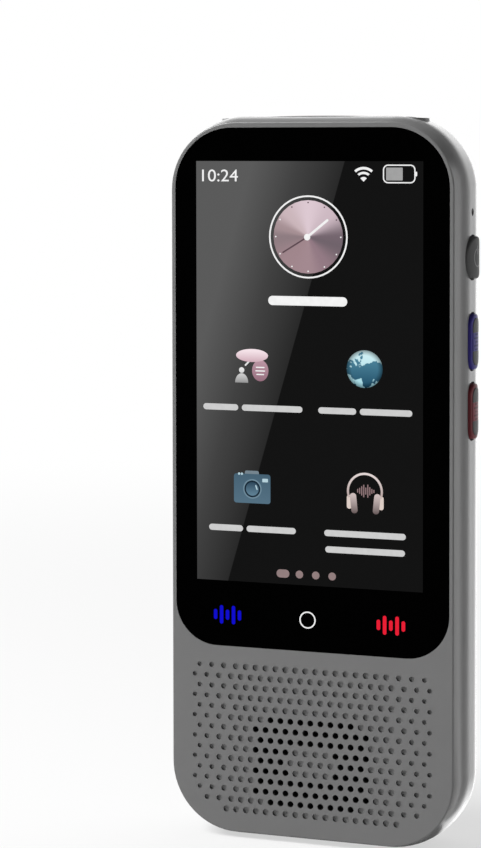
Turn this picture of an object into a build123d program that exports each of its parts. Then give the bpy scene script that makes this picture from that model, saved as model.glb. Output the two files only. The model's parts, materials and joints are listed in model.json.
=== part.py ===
from build123d import *
import os

# Handheld translator: an upright pocket device with a glass front, a drilled speaker panel
# below it, a camera in the rear cover and three sprung keys on the right side.
# Millimetres. X is the width (keys on +X), Y the depth (front at -Y), Z the height.
# The origin is the middle of the foot that the device stands on.

# ---------------------------------------------------------------- driving dimensions
FLAT_WIDTH = 54.3          # front face, crease to crease
FLAT_HEIGHT = 131.5
THICKNESS = 15.0
BULGE = 1.1                # how far the side wall swells past the front crease
LAND_START = 6.8           # the swelling wall is flat between these two depths
LAND_END = 9.6
SEAM_BULGE = 0.4           # what is left of the swelling at the rear seam
CORNER_RADIUS = 12.5       # corner of the front face
WALL = 1.5                 # side wall, measured at the front crease
FRONT_WALL = 2.2           # front wall, where the speaker holes are drilled
COVER_EDGE = 1.2           # visible edge of the rear cover
COVER_INSET = 0.35         # the cover's edge behind the housing's, so the seam shows as a dark line
GAP = 0.05                 # between bonded pieces, each side

DISPLAY_HEIGHT = 77.5      # lit area, 3.5 inch at 16:9
GLASS_WIDTH = 52.65
GLASS_HEIGHT = 95.74
GLASS_TOP_RADIUS = 11.0
GLASS_BOTTOM_RADIUS = 8.0
GLASS_THICKNESS = 0.95
GLASS_TOP_MARGIN = 1.08    # front face showing above the glass
DISPLAY_TOP_MARGIN = 6.11  # black border above the lit area
DISPLAY_SHIFT = -0.4       # the lit area sits a little left of the middle
PANEL_SIZE = (45.6, 82.6)  # display panel, longer below for its driver
PANEL_DROP = 1.6           # its middle below the lit area's middle
DRIVER_LEDGE = 3.0         # bare strip along the panel's lower edge

HOLE_PITCH_X = 1.94
HOLE_PITCH_Z = 1.909
HOLE_DIAMETER = 1.14
OUTER_PITCH = 2.40         # spacing of the three outer columns on each side
OUTER_DIAMETERS = (1.06, 0.95, 0.86)
DIMPLE_DEPTH = 0.45
HOLE_ROWS = 15
MIDDLE_ROW = 10            # the row through the middle of the speaker
GRILLE_DROP = 20.90        # that row below the glass

KEY_DEPTH = 8.2            # key centre line, behind the front face
KEY_PROUD = 0.85           # of a long key's face, past the side wall
KEY_CROWN = 9.0            # radius of the keys' bulging tops
KEY_TRAVEL = 0.45
POWER_KEY_Z = 108.0
BLUE_KEY_Z = 92.75
RED_KEY_Z = 80.1
MICROPHONE_Z = 116.2
MICROPHONE_HOLE = 0.7      # radius
POWER_KEY_RADIUS = 3.85
LONG_KEY_WIDTH = 5.0
LONG_KEY_LENGTH = 10.1
LONG_KEY_RADIUS = 2.2
FLANGE_WIDTH = 0.65        # of the hidden flange that keeps a key in its pocket
POCKET_GAP = 0.3           # around each key

CAMERA_X = -1.2
CAMERA_DROP = 17.0         # below the top crease
CAMERA_RING_RADIUS = 6.4
BARREL_RADIUS = 2.7
LENS_RADIUS = 1.7

TOP_PLATE_LENGTH = 40.0
TOP_PLATE_WIDTH = 7.0
TOP_PLATE_CROWN = 0.5      # its ends lie this much below its middle

SPEAKER_WIDTH = 24.0
SPEAKER_HEIGHT = 18.0
USB_WIDTH = 8.9
USB_THICKNESS = 3.15
SCREW_RADIUS = 0.7
PILOT_RADIUS = 0.75

# ---------------------------------------------------------------- derived places
Y_FRONT = -THICKNESS / 2
Y_REAR = THICKNESS / 2
Y_SEAM = Y_REAR - COVER_EDGE
Y_INSIDE = Y_FRONT + FRONT_WALL
Y_LAND_START = Y_FRONT + LAND_START
Y_LAND_END = Y_FRONT + LAND_END
Y_KEYS = Y_FRONT + KEY_DEPTH
Y_FOOT = (Y_LAND_START + Y_LAND_END) / 2

Z_FLAT_TOP = BULGE + FLAT_HEIGHT
Z_TOP = FLAT_HEIGHT + 2 * BULGE
Z_MIDDLE = Z_TOP / 2
X_OUTSIDE = FLAT_WIDTH / 2 + BULGE
X_INSIDE = FLAT_WIDTH / 2 - WALL
CAVITY_WIDTH = FLAT_WIDTH - 2 * WALL
CAVITY_HEIGHT = FLAT_HEIGHT - 2 * WALL
CAVITY_RADIUS = CORNER_RADIUS - WALL
Z_CAVITY_BOTTOM = BULGE + WALL
Z_CAVITY_TOP = Z_FLAT_TOP - WALL

Z_GLASS_TOP = Z_FLAT_TOP - GLASS_TOP_MARGIN
Z_GLASS_BOTTOM = Z_GLASS_TOP - GLASS_HEIGHT
Z_GLASS = (Z_GLASS_TOP + Z_GLASS_BOTTOM) / 2
Z_DISPLAY = Z_GLASS_TOP - DISPLAY_TOP_MARGIN - DISPLAY_HEIGHT / 2
Z_PANEL = Z_DISPLAY - PANEL_DROP
Z_GRILLE = Z_GLASS_BOTTOM - GRILLE_DROP
Z_CAMERA = Z_FLAT_TOP - CAMERA_DROP

Y_GLASS_FRONT = Y_FRONT + GAP
Y_GLASS_BACK = Y_GLASS_FRONT + GLASS_THICKNESS
Y_SHELF = Y_GLASS_BACK + 0.15
Y_PANEL_BACK = Y_GLASS_BACK + 1.2
Y_BACKLIGHT_BACK = Y_PANEL_BACK + 1.1
Y_FRAME_FRONT = Y_BACKLIGHT_BACK + 0.3
Y_FRAME_BACK = Y_FRAME_FRONT + 0.7
Y_BOARD_FRONT = Y_FRAME_BACK + 1.8
Y_BOARD_BACK = Y_BOARD_FRONT + 1.0
Y_LOWER_BOARD = Y_FOOT + USB_THICKNESS / 2
Y_LOWER_BOARD_BACK = Y_LOWER_BOARD + 0.8

FRAME_WIDTH = 50.6
FRAME_BOTTOM = Z_GLASS_BOTTOM - 0.5
FRAME_TOP = Z_CAVITY_TOP - 1.4
FLEX_SLOT_Z = 91.2         # where the display's flat cable passes through the frame
BOARD_LEFT, BOARD_RIGHT = -23.6, 19.4
BOARD_BOTTOM, BOARD_TOP = 89.2, 127.2
BATTERY_LEFT, BATTERY_RIGHT = -23.5, 18.0
BATTERY_BOTTOM, BATTERY_TOP = 39.2, 87.2
Y_BATTERY_BACK = 4.6
BOARD_POSTS = ((-21.0, 92.2), (16.8, 92.2), (-21.0, 114.2), (16.8, 124.2))
LOWER_POSTS = ((-19.5, 9.0), (19.5, 9.0), (-19.5, 31.0), (19.5, 31.0))
SNAP_HEIGHTS = (22.0, 66.0, 112.0)

X_KEY_TOP = X_OUTSIDE + KEY_PROUD
X_FLANGE = X_INSIDE - 0.55         # inner face of each key's retaining flange
X_KEY_BOARD = X_FLANGE - 2.5       # rear face of the key board
X_SWITCH = X_KEY_BOARD + 0.6       # front face of the key board
X_SWITCH_TOP = X_SWITCH + 1.1

made = {}


# ---------------------------------------------------------------- helpers
def slab(outline, y_front, y_back, x=0.0, z=0.0):
    """An outline drawn on X and Z, filled from y_front back to y_back."""
    plane = Plane(origin=(x, y_back, z), x_dir=(1, 0, 0), z_dir=(0, -1, 0))
    return extrude(plane * outline, amount=y_back - y_front)


def side_prism(outline, x_in, x_out, y, z):
    """An outline drawn on Y and Z, filled from x_in out to x_out."""
    plane = Plane(origin=(x_in, y, z), x_dir=(0, 1, 0), z_dir=(1, 0, 0))
    return extrude(plane * outline, amount=x_out - x_in)


def column(outline, z_low, z_high, y):
    """An outline drawn on X and Y, filled from z_low up to z_high."""
    return extrude(Plane(origin=(0, y, z_low)) * outline, amount=z_high - z_low)


def disc(radius, y_front, y_back, x=0.0, z=0.0):
    return slab(Circle(radius), y_front, y_back, x, z)


def block(x_low, x_high, y_low, y_high, z_low, z_high):
    """A box given by its limits on each axis."""
    size = Box(x_high - x_low, y_high - y_low, z_high - z_low)
    return Pos((x_low + x_high) / 2, (y_low + y_high) / 2, (z_low + z_high) / 2) * size


def ribbon(points, thickness, x_low, x_high):
    """A flat cable: a line of (y, z) points with a thickness, filled between two X."""
    plane = Plane(origin=(x_low, 0, 0), x_dir=(0, 1, 0), z_dir=(1, 0, 0))
    outline = trace(Polyline(*points), thickness)
    return extrude(plane * outline, amount=x_high - x_low)


def pillow(profile, y_front, y_back):
    """A rounded slab whose edge has one profile all the way round.

    In the profile, x is the distance from a corner's own axis and y is the depth.
    """
    corner_x = FLAT_WIDTH / 2 - CORNER_RADIUS
    corner_z = FLAT_HEIGHT / 2 - CORNER_RADIUS
    core = Box(2 * corner_x, y_back - y_front, 2 * corner_z)
    body = Pos(0, (y_front + y_back) / 2, 0) * core
    corner = revolve(profile, Axis.Y, revolution_arc=90)
    sides = (
        (0, corner_x, -corner_z, 2 * corner_z),
        (90, -corner_x, -corner_z, 2 * corner_x),
        (180, -corner_x, corner_z, 2 * corner_z),
        (270, corner_x, corner_z, 2 * corner_x),
    )
    for turn, x, z, run in sides:
        place = Pos(x, 0, z) * Rot(0, turn, 0)
        body += place * corner
        body += place * extrude(profile, amount=run)
    return Pos(0, 0, Z_MIDDLE) * body


def keep(name, *shapes):
    """Notes a finished piece under its name. Several shapes stay separate solids."""
    made[name] = shapes[0] if len(shapes) == 1 else Compound(children=list(shapes))


# ---------------------------------------------------------------- outer shells
def housing_profile():
    """Edge of the front housing: small front round, swelling side, chamfer at the seam."""
    crease, chamfer = 0.3, 0.08
    widest = CORNER_RADIUS + BULGE
    crease_front = (CORNER_RADIUS - crease, Y_FRONT)
    crease_side = (CORNER_RADIUS, Y_FRONT + crease)
    seam = (CORNER_RADIUS + SEAM_BULGE, Y_SEAM - chamfer)
    outline = [
        Line((0, Y_FRONT), crease_front),
        TangentArc(crease_front, crease_side, tangent=(1, 0)),
        TangentArc((widest, Y_LAND_START), crease_side, tangent=(0, -1)),
        Line((widest, Y_LAND_START), (widest, Y_LAND_END)),
        TangentArc((widest, Y_LAND_END), seam, tangent=(0, 1)),
        Polyline(seam, (seam[0] - chamfer, Y_SEAM), (0, Y_SEAM), (0, Y_FRONT)),
    ]
    return make_face(Curve() + outline)


def cover_profile():
    """Edge of the rear cover: a groove at the seam, then a rounded rear edge."""
    chamfer, groove_width, groove_depth, rear_round = 0.1, 0.35, 0.45, 0.5
    widest = CORNER_RADIUS + SEAM_BULGE - COVER_INSET
    groove_back = Y_SEAM + groove_width
    edge_start = (widest, Y_REAR - rear_round)
    edge_end = (widest - rear_round, Y_REAR)
    outline = [
        Polyline(
            (0, Y_SEAM),
            (widest - groove_depth, Y_SEAM),
            (widest - groove_depth, groove_back),
            (widest - chamfer, groove_back),
            (widest, groove_back + chamfer),
            edge_start,
        ),
        TangentArc(edge_start, edge_end, tangent=(0, 1)),
        Polyline(edge_end, (0, Y_REAR), (0, Y_SEAM)),
    ]
    return make_face(Curve() + outline)


def glass_outline(grow=0.0):
    """The cover glass: larger corners at the top than at the bottom."""
    outline = Rectangle(GLASS_WIDTH + 2 * grow, GLASS_HEIGHT + 2 * grow)
    outline = fillet(outline.vertices().group_by(Axis.Y)[-1], GLASS_TOP_RADIUS + grow)
    return fillet(outline.vertices().group_by(Axis.Y)[0], GLASS_BOTTOM_RADIUS + grow)


def long_key_outline(grow=0.0):
    """A long key, drawn on Y and Z."""
    width, length = LONG_KEY_WIDTH + 2 * grow, LONG_KEY_LENGTH + 2 * grow
    return RectangleRounded(width, length, LONG_KEY_RADIUS + grow)


def cavity_outline(inset=0.0):
    """The inside of the side walls."""
    return RectangleRounded(
        CAVITY_WIDTH - 2 * inset, CAVITY_HEIGHT - 2 * inset, CAVITY_RADIUS - inset
    )


def grille_holes():
    """Every hole of the speaker panel as (x, z, diameter, goes through).

    Rows alternate by half a pitch. The through holes form a ring over the speaker cone,
    given for each row by its distance from the middle row.
    """
    ring = {0: (3.0, 5.0), 1: (2.5, 5.5), 2: (0.0, 5.0), 3: (0.0, 5.5), 4: (0.0, 4.0)}
    holes = []
    for row in range(1, HOLE_ROWS + 1):
        offset = 0.5 if row % 2 else 0.0
        last = 8.5 if row == HOLE_ROWS else 8.0 - offset
        outer_columns = {HOLE_ROWS: 0, HOLE_ROWS - 1: 2}.get(row, 3)
        ring_start, ring_end = ring.get(abs(row - MIDDLE_ROW), (1.0, 0.0))
        z = Z_GRILLE + (MIDDLE_ROW - row) * HOLE_PITCH_Z
        for step in range(int(last - offset) + 1):
            place = offset + step
            through = ring_start <= place <= ring_end
            for x in {place * HOLE_PITCH_X, -place * HOLE_PITCH_X}:
                holes.append((x, z, HOLE_DIAMETER, through))
        for step, diameter in enumerate(OUTER_DIAMETERS[:outer_columns], start=1):
            place = last * HOLE_PITCH_X + step * OUTER_PITCH
            for x in (place, -place):
                holes.append((x, z, diameter, False))
    return holes


def front_housing():
    """The shell that everything is built into: front face, side walls, posts and rails."""
    shell = pillow(housing_profile(), Y_FRONT, Y_SEAM)
    shell -= slab(cavity_outline(), Y_INSIDE, Y_SEAM + 1, 0, Z_MIDDLE)
    shell -= slab(glass_outline(GAP), Y_FRONT - 1, Y_SHELF, 0, Z_GLASS)
    window = RectangleRounded(PANEL_SIZE[0] + 0.4, PANEL_SIZE[1] + 0.4, 0.7)
    shell -= slab(window, Y_FRONT, Y_INSIDE + 1, DISPLAY_SHIFT, Z_PANEL)

    for side in (-1, 1):
        limits = sorted((side * (X_INSIDE - 1.2), side * (X_INSIDE + 0.1)))
        shell += block(*limits, Y_INSIDE - 0.1, Y_FRAME_FRONT, FRAME_BOTTOM, Z_CAMERA)
    for x, z in LOWER_POSTS:
        shell += disc(1.7, Y_INSIDE - 0.1, Y_LOWER_BOARD, x, z)
        shell -= disc(PILOT_RADIUS, Y_LOWER_BOARD - 4.0, Y_LOWER_BOARD + 1, x, z)

    drills = []
    for x, z, diameter, goes_through in grille_holes():
        bottom = Y_INSIDE + 0.1 if goes_through else Y_FRONT + DIMPLE_DEPTH
        drills.append(disc(diameter / 2, Y_FRONT - 1, bottom, x, z))
    shell -= drills

    cuts = [(long_key_outline(POCKET_GAP), z) for z in (BLUE_KEY_Z, RED_KEY_Z)]
    cuts.append((Circle(POWER_KEY_RADIUS + POCKET_GAP), POWER_KEY_Z))
    cuts.append((Circle(MICROPHONE_HOLE), MICROPHONE_Z))
    for outline, z in cuts:
        shell -= side_prism(outline, X_INSIDE - 1, X_OUTSIDE + 1, Y_KEYS, z)

    port = RectangleRounded(USB_WIDTH + 0.4, USB_THICKNESS + 0.4, 1.7)
    shell -= column(port, -1, Z_CAVITY_BOTTOM + 1, Y_FOOT)
    slot = SlotOverall(TOP_PLATE_LENGTH + 2 * GAP, TOP_PLATE_WIDTH + 2 * GAP)
    shell -= column(slot, Z_FLAT_TOP - 0.4, Z_TOP + 1, Y_FOOT)
    for z in SNAP_HEIGHTS:
        for side in (-1, 1):
            shell -= Pos(side * X_INSIDE, Y_SEAM - 0.55, z) * Box(1.0, 0.6, 6.3)
    return shell


def rear_cover():
    """The lid: a thin plate with a locating lip, snap tabs and the camera's stepped hole."""
    lip_depth, lip_gap, lip_wall = 0.9, 0.1, 1.0
    cover = pillow(cover_profile(), Y_SEAM, Y_REAR)
    lip = cavity_outline(lip_gap) - cavity_outline(lip_gap + lip_wall)
    cover += slab(lip, Y_SEAM - lip_depth, Y_SEAM + 0.1, 0, Z_MIDDLE)
    for z in SNAP_HEIGHTS:
        for side in (-1, 1):
            cover += Pos(side * (X_INSIDE - 0.1), Y_SEAM - 0.6, z) * Box(0.8, 0.4, 6.0)
    hole = CAMERA_RING_RADIUS + GAP
    cover -= disc(hole, Y_SEAM + 0.4, Y_REAR + 1, CAMERA_X, Z_CAMERA)
    cover -= disc(hole - 0.8, Y_SEAM - 1, Y_REAR, CAMERA_X, Z_CAMERA)
    return cover


def top_plate():
    """The antenna window let into the top wall, crowned along its length."""
    half = TOP_PLATE_LENGTH / 2
    crown_radius = (half**2 + TOP_PLATE_CROWN**2) / (2 * TOP_PLATE_CROWN)
    outline = SlotOverall(TOP_PLATE_LENGTH, TOP_PLATE_WIDTH)
    blank = column(outline, Z_FLAT_TOP - 0.4, Z_TOP + 1, Y_FOOT)
    crown = Pos(0, 0, Z_TOP - crown_radius) * Rot(90, 0, 0) * Cylinder(crown_radius, 40)
    return blank & crown


def shell_pieces():
    keep("front_housing", front_housing())
    keep("rear_cover", rear_cover())
    keep("top_plate", top_plate())
    keep("antenna_strip", block(-13, 13, Y_FOOT - 2, Y_FOOT + 2, Z_CAVITY_TOP - 0.3, Z_CAVITY_TOP))


# ---------------------------------------------------------------- display
def display_pieces():
    keep("cover_glass", slab(glass_outline(), Y_GLASS_FRONT, Y_GLASS_BACK, 0, Z_GLASS))

    window = RectangleRounded(PANEL_SIZE[0] + 0.8, PANEL_SIZE[1] + 0.8, 0.9)
    tape = slab(glass_outline(-0.3), Y_GLASS_BACK, Y_SHELF, 0, Z_GLASS)
    tape -= slab(window, Y_GLASS_BACK - 1, Y_SHELF + 1, DISPLAY_SHIFT, Z_PANEL)
    keep("glass_adhesive", tape)

    outline = RectangleRounded(*PANEL_SIZE, 0.5)
    ledge_top = Z_PANEL - PANEL_SIZE[1] / 2 + DRIVER_LEDGE
    panel = slab(outline, Y_GLASS_BACK, Y_PANEL_BACK, DISPLAY_SHIFT, Z_PANEL)
    panel -= block(-30, 30, Y_PANEL_BACK - 0.6, Y_PANEL_BACK + 1, 0, ledge_top)
    keep("display_panel", panel)

    tray = slab(outline, Y_PANEL_BACK, Y_BACKLIGHT_BACK, DISPLAY_SHIFT, Z_PANEL)
    tray -= block(-30, 30, Y_PANEL_BACK - 1, Y_BACKLIGHT_BACK + 1, 0, ledge_top)
    for x in (-12.0, 12.0):
        stiffener = RectangleRounded(4.0, 60.0, 1.5)
        tray -= slab(stiffener, Y_BACKLIGHT_BACK - 0.2, Y_BACKLIGHT_BACK + 1, x, Z_PANEL)
    keep("display_backlight", tray)

    flex_y = (Y_BACKLIGHT_BACK + Y_FRAME_FRONT) / 2
    connector_y = Y_BOARD_FRONT - 0.9
    route = (
        (Y_PANEL_BACK - 0.5, ledge_top - 0.9),
        (flex_y, ledge_top - 0.9),
        (flex_y, FLEX_SLOT_Z),
        (connector_y - 0.1, FLEX_SLOT_Z),
        (connector_y - 0.1, FLEX_SLOT_Z + 3.6),
    )
    keep("display_flex", ribbon(route, 0.12, -6.0, 6.0))
    keep(
        "display_connector",
        block(-7.0, 7.0, connector_y, Y_BOARD_FRONT, FLEX_SLOT_Z + 1.6, FLEX_SLOT_Z + 4.0),
    )


# ---------------------------------------------------------------- frame, battery and boards
def screws(places, y_seat, shank_end):
    """Pan-head screws driven forwards from y_seat, one solid each."""
    group = []
    head_radius, head_height = 1.4, 0.7
    for x, z in places:
        screw = disc(head_radius, y_seat, y_seat + head_height, x, z)
        screw += disc(SCREW_RADIUS, shank_end, y_seat, x, z)
        group.append(screw - Pos(x, y_seat + head_height, z) * Box(1.6, 0.7, 0.3))
    return group


def can(x_low, x_high, z_low, z_high, height, wall=0.3):
    """A shield can soldered to the rear of the main board, open towards the board."""
    back = Y_BOARD_BACK + height
    shield = block(x_low, x_high, Y_BOARD_BACK, back, z_low, z_high)
    shield = fillet(shield.edges().filter_by(Axis.Y), 0.8)
    inside = (x_low + wall, x_high - wall, Y_BOARD_BACK - 1, back - wall)
    return shield - block(*inside, z_low + wall, z_high - wall)


def frame_pieces():
    outline = Rectangle(FRAME_WIDTH, FRAME_TOP - FRAME_BOTTOM)
    outline = fillet(outline.vertices().group_by(Axis.Y)[-1], 10.0)
    outline = fillet(outline.vertices().group_by(Axis.Y)[0], 2.0)
    frame = slab(outline, Y_FRAME_FRONT, Y_FRAME_BACK, 0, (FRAME_TOP + FRAME_BOTTOM) / 2)
    for x, z in BOARD_POSTS:
        frame += disc(1.7, Y_FRAME_BACK - 0.1, Y_BOARD_FRONT, x, z)
        frame -= disc(PILOT_RADIUS, Y_FRAME_FRONT - 1, Y_BOARD_FRONT + 1, x, z)
    slots = [(Rectangle(13.2, 1.2), 0.0, FLEX_SLOT_Z)]
    slots += [(SlotOverall(24.0, 5.0), -2.75, z) for z in (49.0, 63.0, 77.0)]
    for shape, x, z in slots:
        frame -= slab(shape, Y_FRAME_FRONT - 1, Y_FRAME_BACK + 1, x, z)
    notch = (X_FLANGE - KEY_TRAVEL - 0.3, X_INSIDE, Y_FRAME_FRONT - 1, Y_FRAME_BACK + 1)
    frame -= block(*notch, POWER_KEY_Z - 5.0, POWER_KEY_Z + 5.0)
    keep("mid_frame", frame)


def battery_pieces():
    width, height = BATTERY_RIGHT - BATTERY_LEFT, BATTERY_TOP - BATTERY_BOTTOM
    x, z = (BATTERY_RIGHT + BATTERY_LEFT) / 2, (BATTERY_TOP + BATTERY_BOTTOM) / 2
    tape_back = Y_FRAME_BACK + 0.2
    tape = RectangleRounded(width - 6, height - 4, 1.0)
    keep("battery_tape", slab(tape, Y_FRAME_BACK, tape_back, x, z))
    cell = slab(RectangleRounded(width, height, 2.0), tape_back, Y_BATTERY_BACK, x, z)
    keep("battery", fillet(cell.edges().group_by(Axis.Y)[-1], 1.0))
    lead_y = Y_BOARD_BACK + 0.6
    start_z = BATTERY_TOP + 1.4
    keep("battery_board", block(-15.0, 5.0, lead_y - 0.5, lead_y + 1.6, BATTERY_TOP, start_z))
    plug_z = BOARD_BOTTOM + 1.4
    plug = block(-14.0, -8.0, Y_BOARD_BACK, Y_BOARD_BACK + 1.3, plug_z, plug_z + 2.6)
    keep("battery_plug", plug)
    wire = Cylinder(0.3, plug_z - start_z)
    wires = [Pos(x, lead_y, (plug_z + start_z) / 2) * wire for x in (-12.0, -11.0, -10.0)]
    keep("battery_lead", *wires)


def board_pieces():
    outline = Rectangle(BOARD_RIGHT - BOARD_LEFT, BOARD_TOP - BOARD_BOTTOM)
    top_left = outline.vertices().group_by(Axis.Y)[-1].sort_by(Axis.X)[0]
    outline = fillet(top_left, 8.0)
    middle = ((BOARD_RIGHT + BOARD_LEFT) / 2, (BOARD_TOP + BOARD_BOTTOM) / 2)
    board = slab(outline, Y_BOARD_FRONT, Y_BOARD_BACK, *middle)
    for x, z in BOARD_POSTS:
        board -= disc(PILOT_RADIUS + 0.1, Y_BOARD_FRONT - 1, Y_BOARD_BACK + 1, x, z)
    keep("main_board", board)
    keep("board_screws", *screws(BOARD_POSTS, Y_BOARD_BACK, Y_FRAME_BACK - 0.4))
    keep("processor", block(5.0, 17.0, Y_BOARD_BACK, Y_BOARD_BACK + 1.0, 96.7, 108.7))
    keep("processor_shield", can(3.8, 18.2, 95.0, 110.4, 1.7))
    keep("radio_shield", can(-22.8, -8.8, 95.7, 111.2, 1.6))

    low, high = 3.0, 34.0
    outline = Rectangle(45.0, high - low)
    outline = fillet(outline.vertices().group_by(Axis.Y)[0], 9.0)
    outline = fillet(outline.vertices().group_by(Axis.Y)[-1], 2.0)
    lower = slab(outline, Y_LOWER_BOARD, Y_LOWER_BOARD_BACK, 0, (low + high) / 2)
    for x, z in LOWER_POSTS:
        lower -= disc(PILOT_RADIUS + 0.1, Y_LOWER_BOARD - 1, Y_LOWER_BOARD_BACK + 1, x, z)
    keep("lower_board", lower)
    keep("lower_board_screws", *screws(LOWER_POSTS, Y_LOWER_BOARD_BACK, Y_LOWER_BOARD - 3.0))

    link_y = Y_BATTERY_BACK + 0.3
    route = (
        (Y_LOWER_BOARD_BACK + 0.08, 30.0),
        (Y_LOWER_BOARD_BACK + 0.08, 35.2),
        (link_y, 37.0),
        (link_y, BATTERY_TOP + 2.0),
        (Y_BOARD_BACK + 0.08, BATTERY_TOP + 3.8),
        (Y_BOARD_BACK + 0.08, BATTERY_TOP + 6.6),
    )
    keep("board_link_flex", ribbon(route, 0.12, -3.0, 3.0))


# ---------------------------------------------------------------- keys and microphone
def crowned(outline, x_in, x_top, z):
    """A prism of a key whose top bulges like the side wall."""
    crest = Pos(x_top - KEY_CROWN, Y_KEYS, z) * Cylinder(KEY_CROWN, 20)
    return side_prism(outline, x_in, x_top + 1, Y_KEYS, z) & crest


def long_key(name, z):
    """A sprung key in three pieces: clear coloured body, grey face and coloured window.

    The window is as wide as the face and parts it into an upper and a lower piece.
    """
    shoulder = X_INSIDE - GAP
    body = crowned(long_key_outline(), shoulder, X_KEY_TOP - 0.12, z)
    body = fillet(body.faces().sort_by(Axis.X)[-1].edges(), 0.35)
    body += side_prism(long_key_outline(FLANGE_WIDTH), X_FLANGE, shoulder, Y_KEYS, z)
    recess = X_KEY_TOP - 0.6
    face_width, face_length, window_length = 3.5, 8.6, 3.4
    seat = RectangleRounded(face_width, face_length, 1.5)
    body -= side_prism(seat, recess, X_KEY_TOP + 1, Y_KEYS, z)
    outline = RectangleRounded(face_width - 2 * GAP, face_length - 2 * GAP, 1.45)
    face = crowned(outline, recess, X_KEY_TOP, z)
    face -= side_prism(Rectangle(face_width, window_length), recess - 1, X_KEY_TOP + 1, Y_KEYS, z)
    keep(name + "_body", body)
    keep(name + "_face", *face.solids())
    glow = Rectangle(face_width - 2 * GAP, window_length - GAP)
    keep(name + "_window", crowned(glow, recess, X_KEY_TOP - 0.02, z))


def power_key():
    """The round key: a bulging button on a retaining flange."""
    shoulder = X_INSIDE - GAP
    cap = crowned(Circle(POWER_KEY_RADIUS), shoulder, X_KEY_TOP + 0.1, POWER_KEY_Z)
    cap = fillet(cap.faces().sort_by(Axis.X)[-1].edges(), 0.35)
    flange = Circle(POWER_KEY_RADIUS + FLANGE_WIDTH)
    return cap + side_prism(flange, X_FLANGE, shoulder, Y_KEYS, POWER_KEY_Z)


def switch(z):
    """A tact switch on the key board: a square base and a short round plunger."""
    base = block(X_SWITCH, X_SWITCH_TOP, Y_KEYS - 1.6, Y_KEYS + 1.6, z - 1.8, z + 1.8)
    base = fillet(base.edges().filter_by(Axis.X), 0.3)
    return base + side_prism(Circle(0.8), X_SWITCH_TOP, X_SWITCH_TOP + 0.3, Y_KEYS, z)


def key_pieces():
    keep("power_key", power_key())
    long_key("blue_key", BLUE_KEY_Z)
    long_key("red_key", RED_KEY_Z)
    keep("power_switch", switch(POWER_KEY_Z))
    keep("blue_key_switch", switch(BLUE_KEY_Z))
    keep("red_key_switch", switch(RED_KEY_Z))

    low, high = RED_KEY_Z - 5.0, MICROPHONE_Z + 3.0
    keep("side_key_board", block(X_KEY_BOARD, X_SWITCH, Y_KEYS - 3.0, Y_KEYS + 3.0, low, high))
    bracket = block(X_KEY_BOARD - 0.5, X_KEY_BOARD, Y_FRAME_BACK, Y_KEYS + 3.0, low, high)
    bracket += block(X_KEY_BOARD - 2.3, X_KEY_BOARD, Y_FRAME_BACK, Y_FRAME_BACK + 0.5, low, high)
    for z in (BLUE_KEY_Z + 7.6, RED_KEY_Z + 6.4):
        bracket -= Pos(X_KEY_BOARD, Y_KEYS, z) * Box(2.0, 3.0, 2.4)
    keep("key_bracket", bracket)

    case = Box(X_SWITCH_TOP - X_SWITCH, 2.6, 3.5)
    keep("side_microphone", Pos((X_SWITCH_TOP + X_SWITCH) / 2, Y_KEYS, MICROPHONE_Z) * case)
    boot = Circle(1.5) - Circle(MICROPHONE_HOLE)
    keep("microphone_boot", side_prism(boot, X_SWITCH_TOP, X_INSIDE, Y_KEYS, MICROPHONE_Z))


# ---------------------------------------------------------------- camera
def camera_pieces():
    ring_front, ring_back = Y_SEAM + 0.4, Y_REAR - GAP
    sleeve_front = Y_SEAM - 0.9
    module_top = Y_SEAM - 1.5

    ring = disc(CAMERA_RING_RADIUS, ring_front, ring_back, CAMERA_X, Z_CAMERA)
    ring = chamfer(ring.edges().group_by(Axis.Y)[-1], 0.15)
    ring += disc(CAMERA_RING_RADIUS - 0.85, sleeve_front, ring_front, CAMERA_X, Z_CAMERA)
    dish_radius, dish_depth = CAMERA_RING_RADIUS - 0.45, 0.35
    dish = Cone(BARREL_RADIUS, dish_radius, dish_depth)
    ring -= Pos(CAMERA_X, ring_back - dish_depth / 2, Z_CAMERA) * Rot(-90, 0, 0) * dish
    ring -= disc(BARREL_RADIUS + GAP, sleeve_front - 1, ring_back + 1, CAMERA_X, Z_CAMERA)
    keep("camera_ring", ring)

    barrel = disc(BARREL_RADIUS, sleeve_front, ring_back - 0.05, CAMERA_X, Z_CAMERA)
    barrel = chamfer(barrel.edges().group_by(Axis.Y)[-1], 0.2)
    funnel = Cone(LENS_RADIUS, BARREL_RADIUS - 0.35, 0.6)
    barrel -= Pos(CAMERA_X, ring_back - 0.35, Z_CAMERA) * Rot(-90, 0, 0) * funnel
    barrel -= disc(LENS_RADIUS, sleeve_front - 1, ring_back, CAMERA_X, Z_CAMERA)
    keep("camera_barrel", barrel)

    lens = disc(LENS_RADIUS, ring_back - 1.5, ring_back - 0.9, CAMERA_X, Z_CAMERA)
    dome_radius = 3.2
    dome = Pos(CAMERA_X, ring_back - 0.55 - dome_radius, Z_CAMERA) * Sphere(dome_radius)
    blank = disc(LENS_RADIUS, ring_back - 1.0, ring_back, CAMERA_X, Z_CAMERA)
    keep("camera_lens", lens + (blank & dome))

    module_side, module_back = 8.5, 3.2
    module = slab(Rectangle(module_side, module_side), Y_BOARD_BACK, module_back, CAMERA_X, Z_CAMERA)
    module = chamfer(module.edges().filter_by(Axis.Y), 0.5)
    keep("camera_module", module + disc(3.1, module_back - 0.1, module_top, CAMERA_X, Z_CAMERA))
    foam = disc(3.9, module_top, sleeve_front, CAMERA_X, Z_CAMERA)
    keep("camera_foam", foam - disc(2.4, 0, Y_REAR, CAMERA_X, Z_CAMERA))


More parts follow.
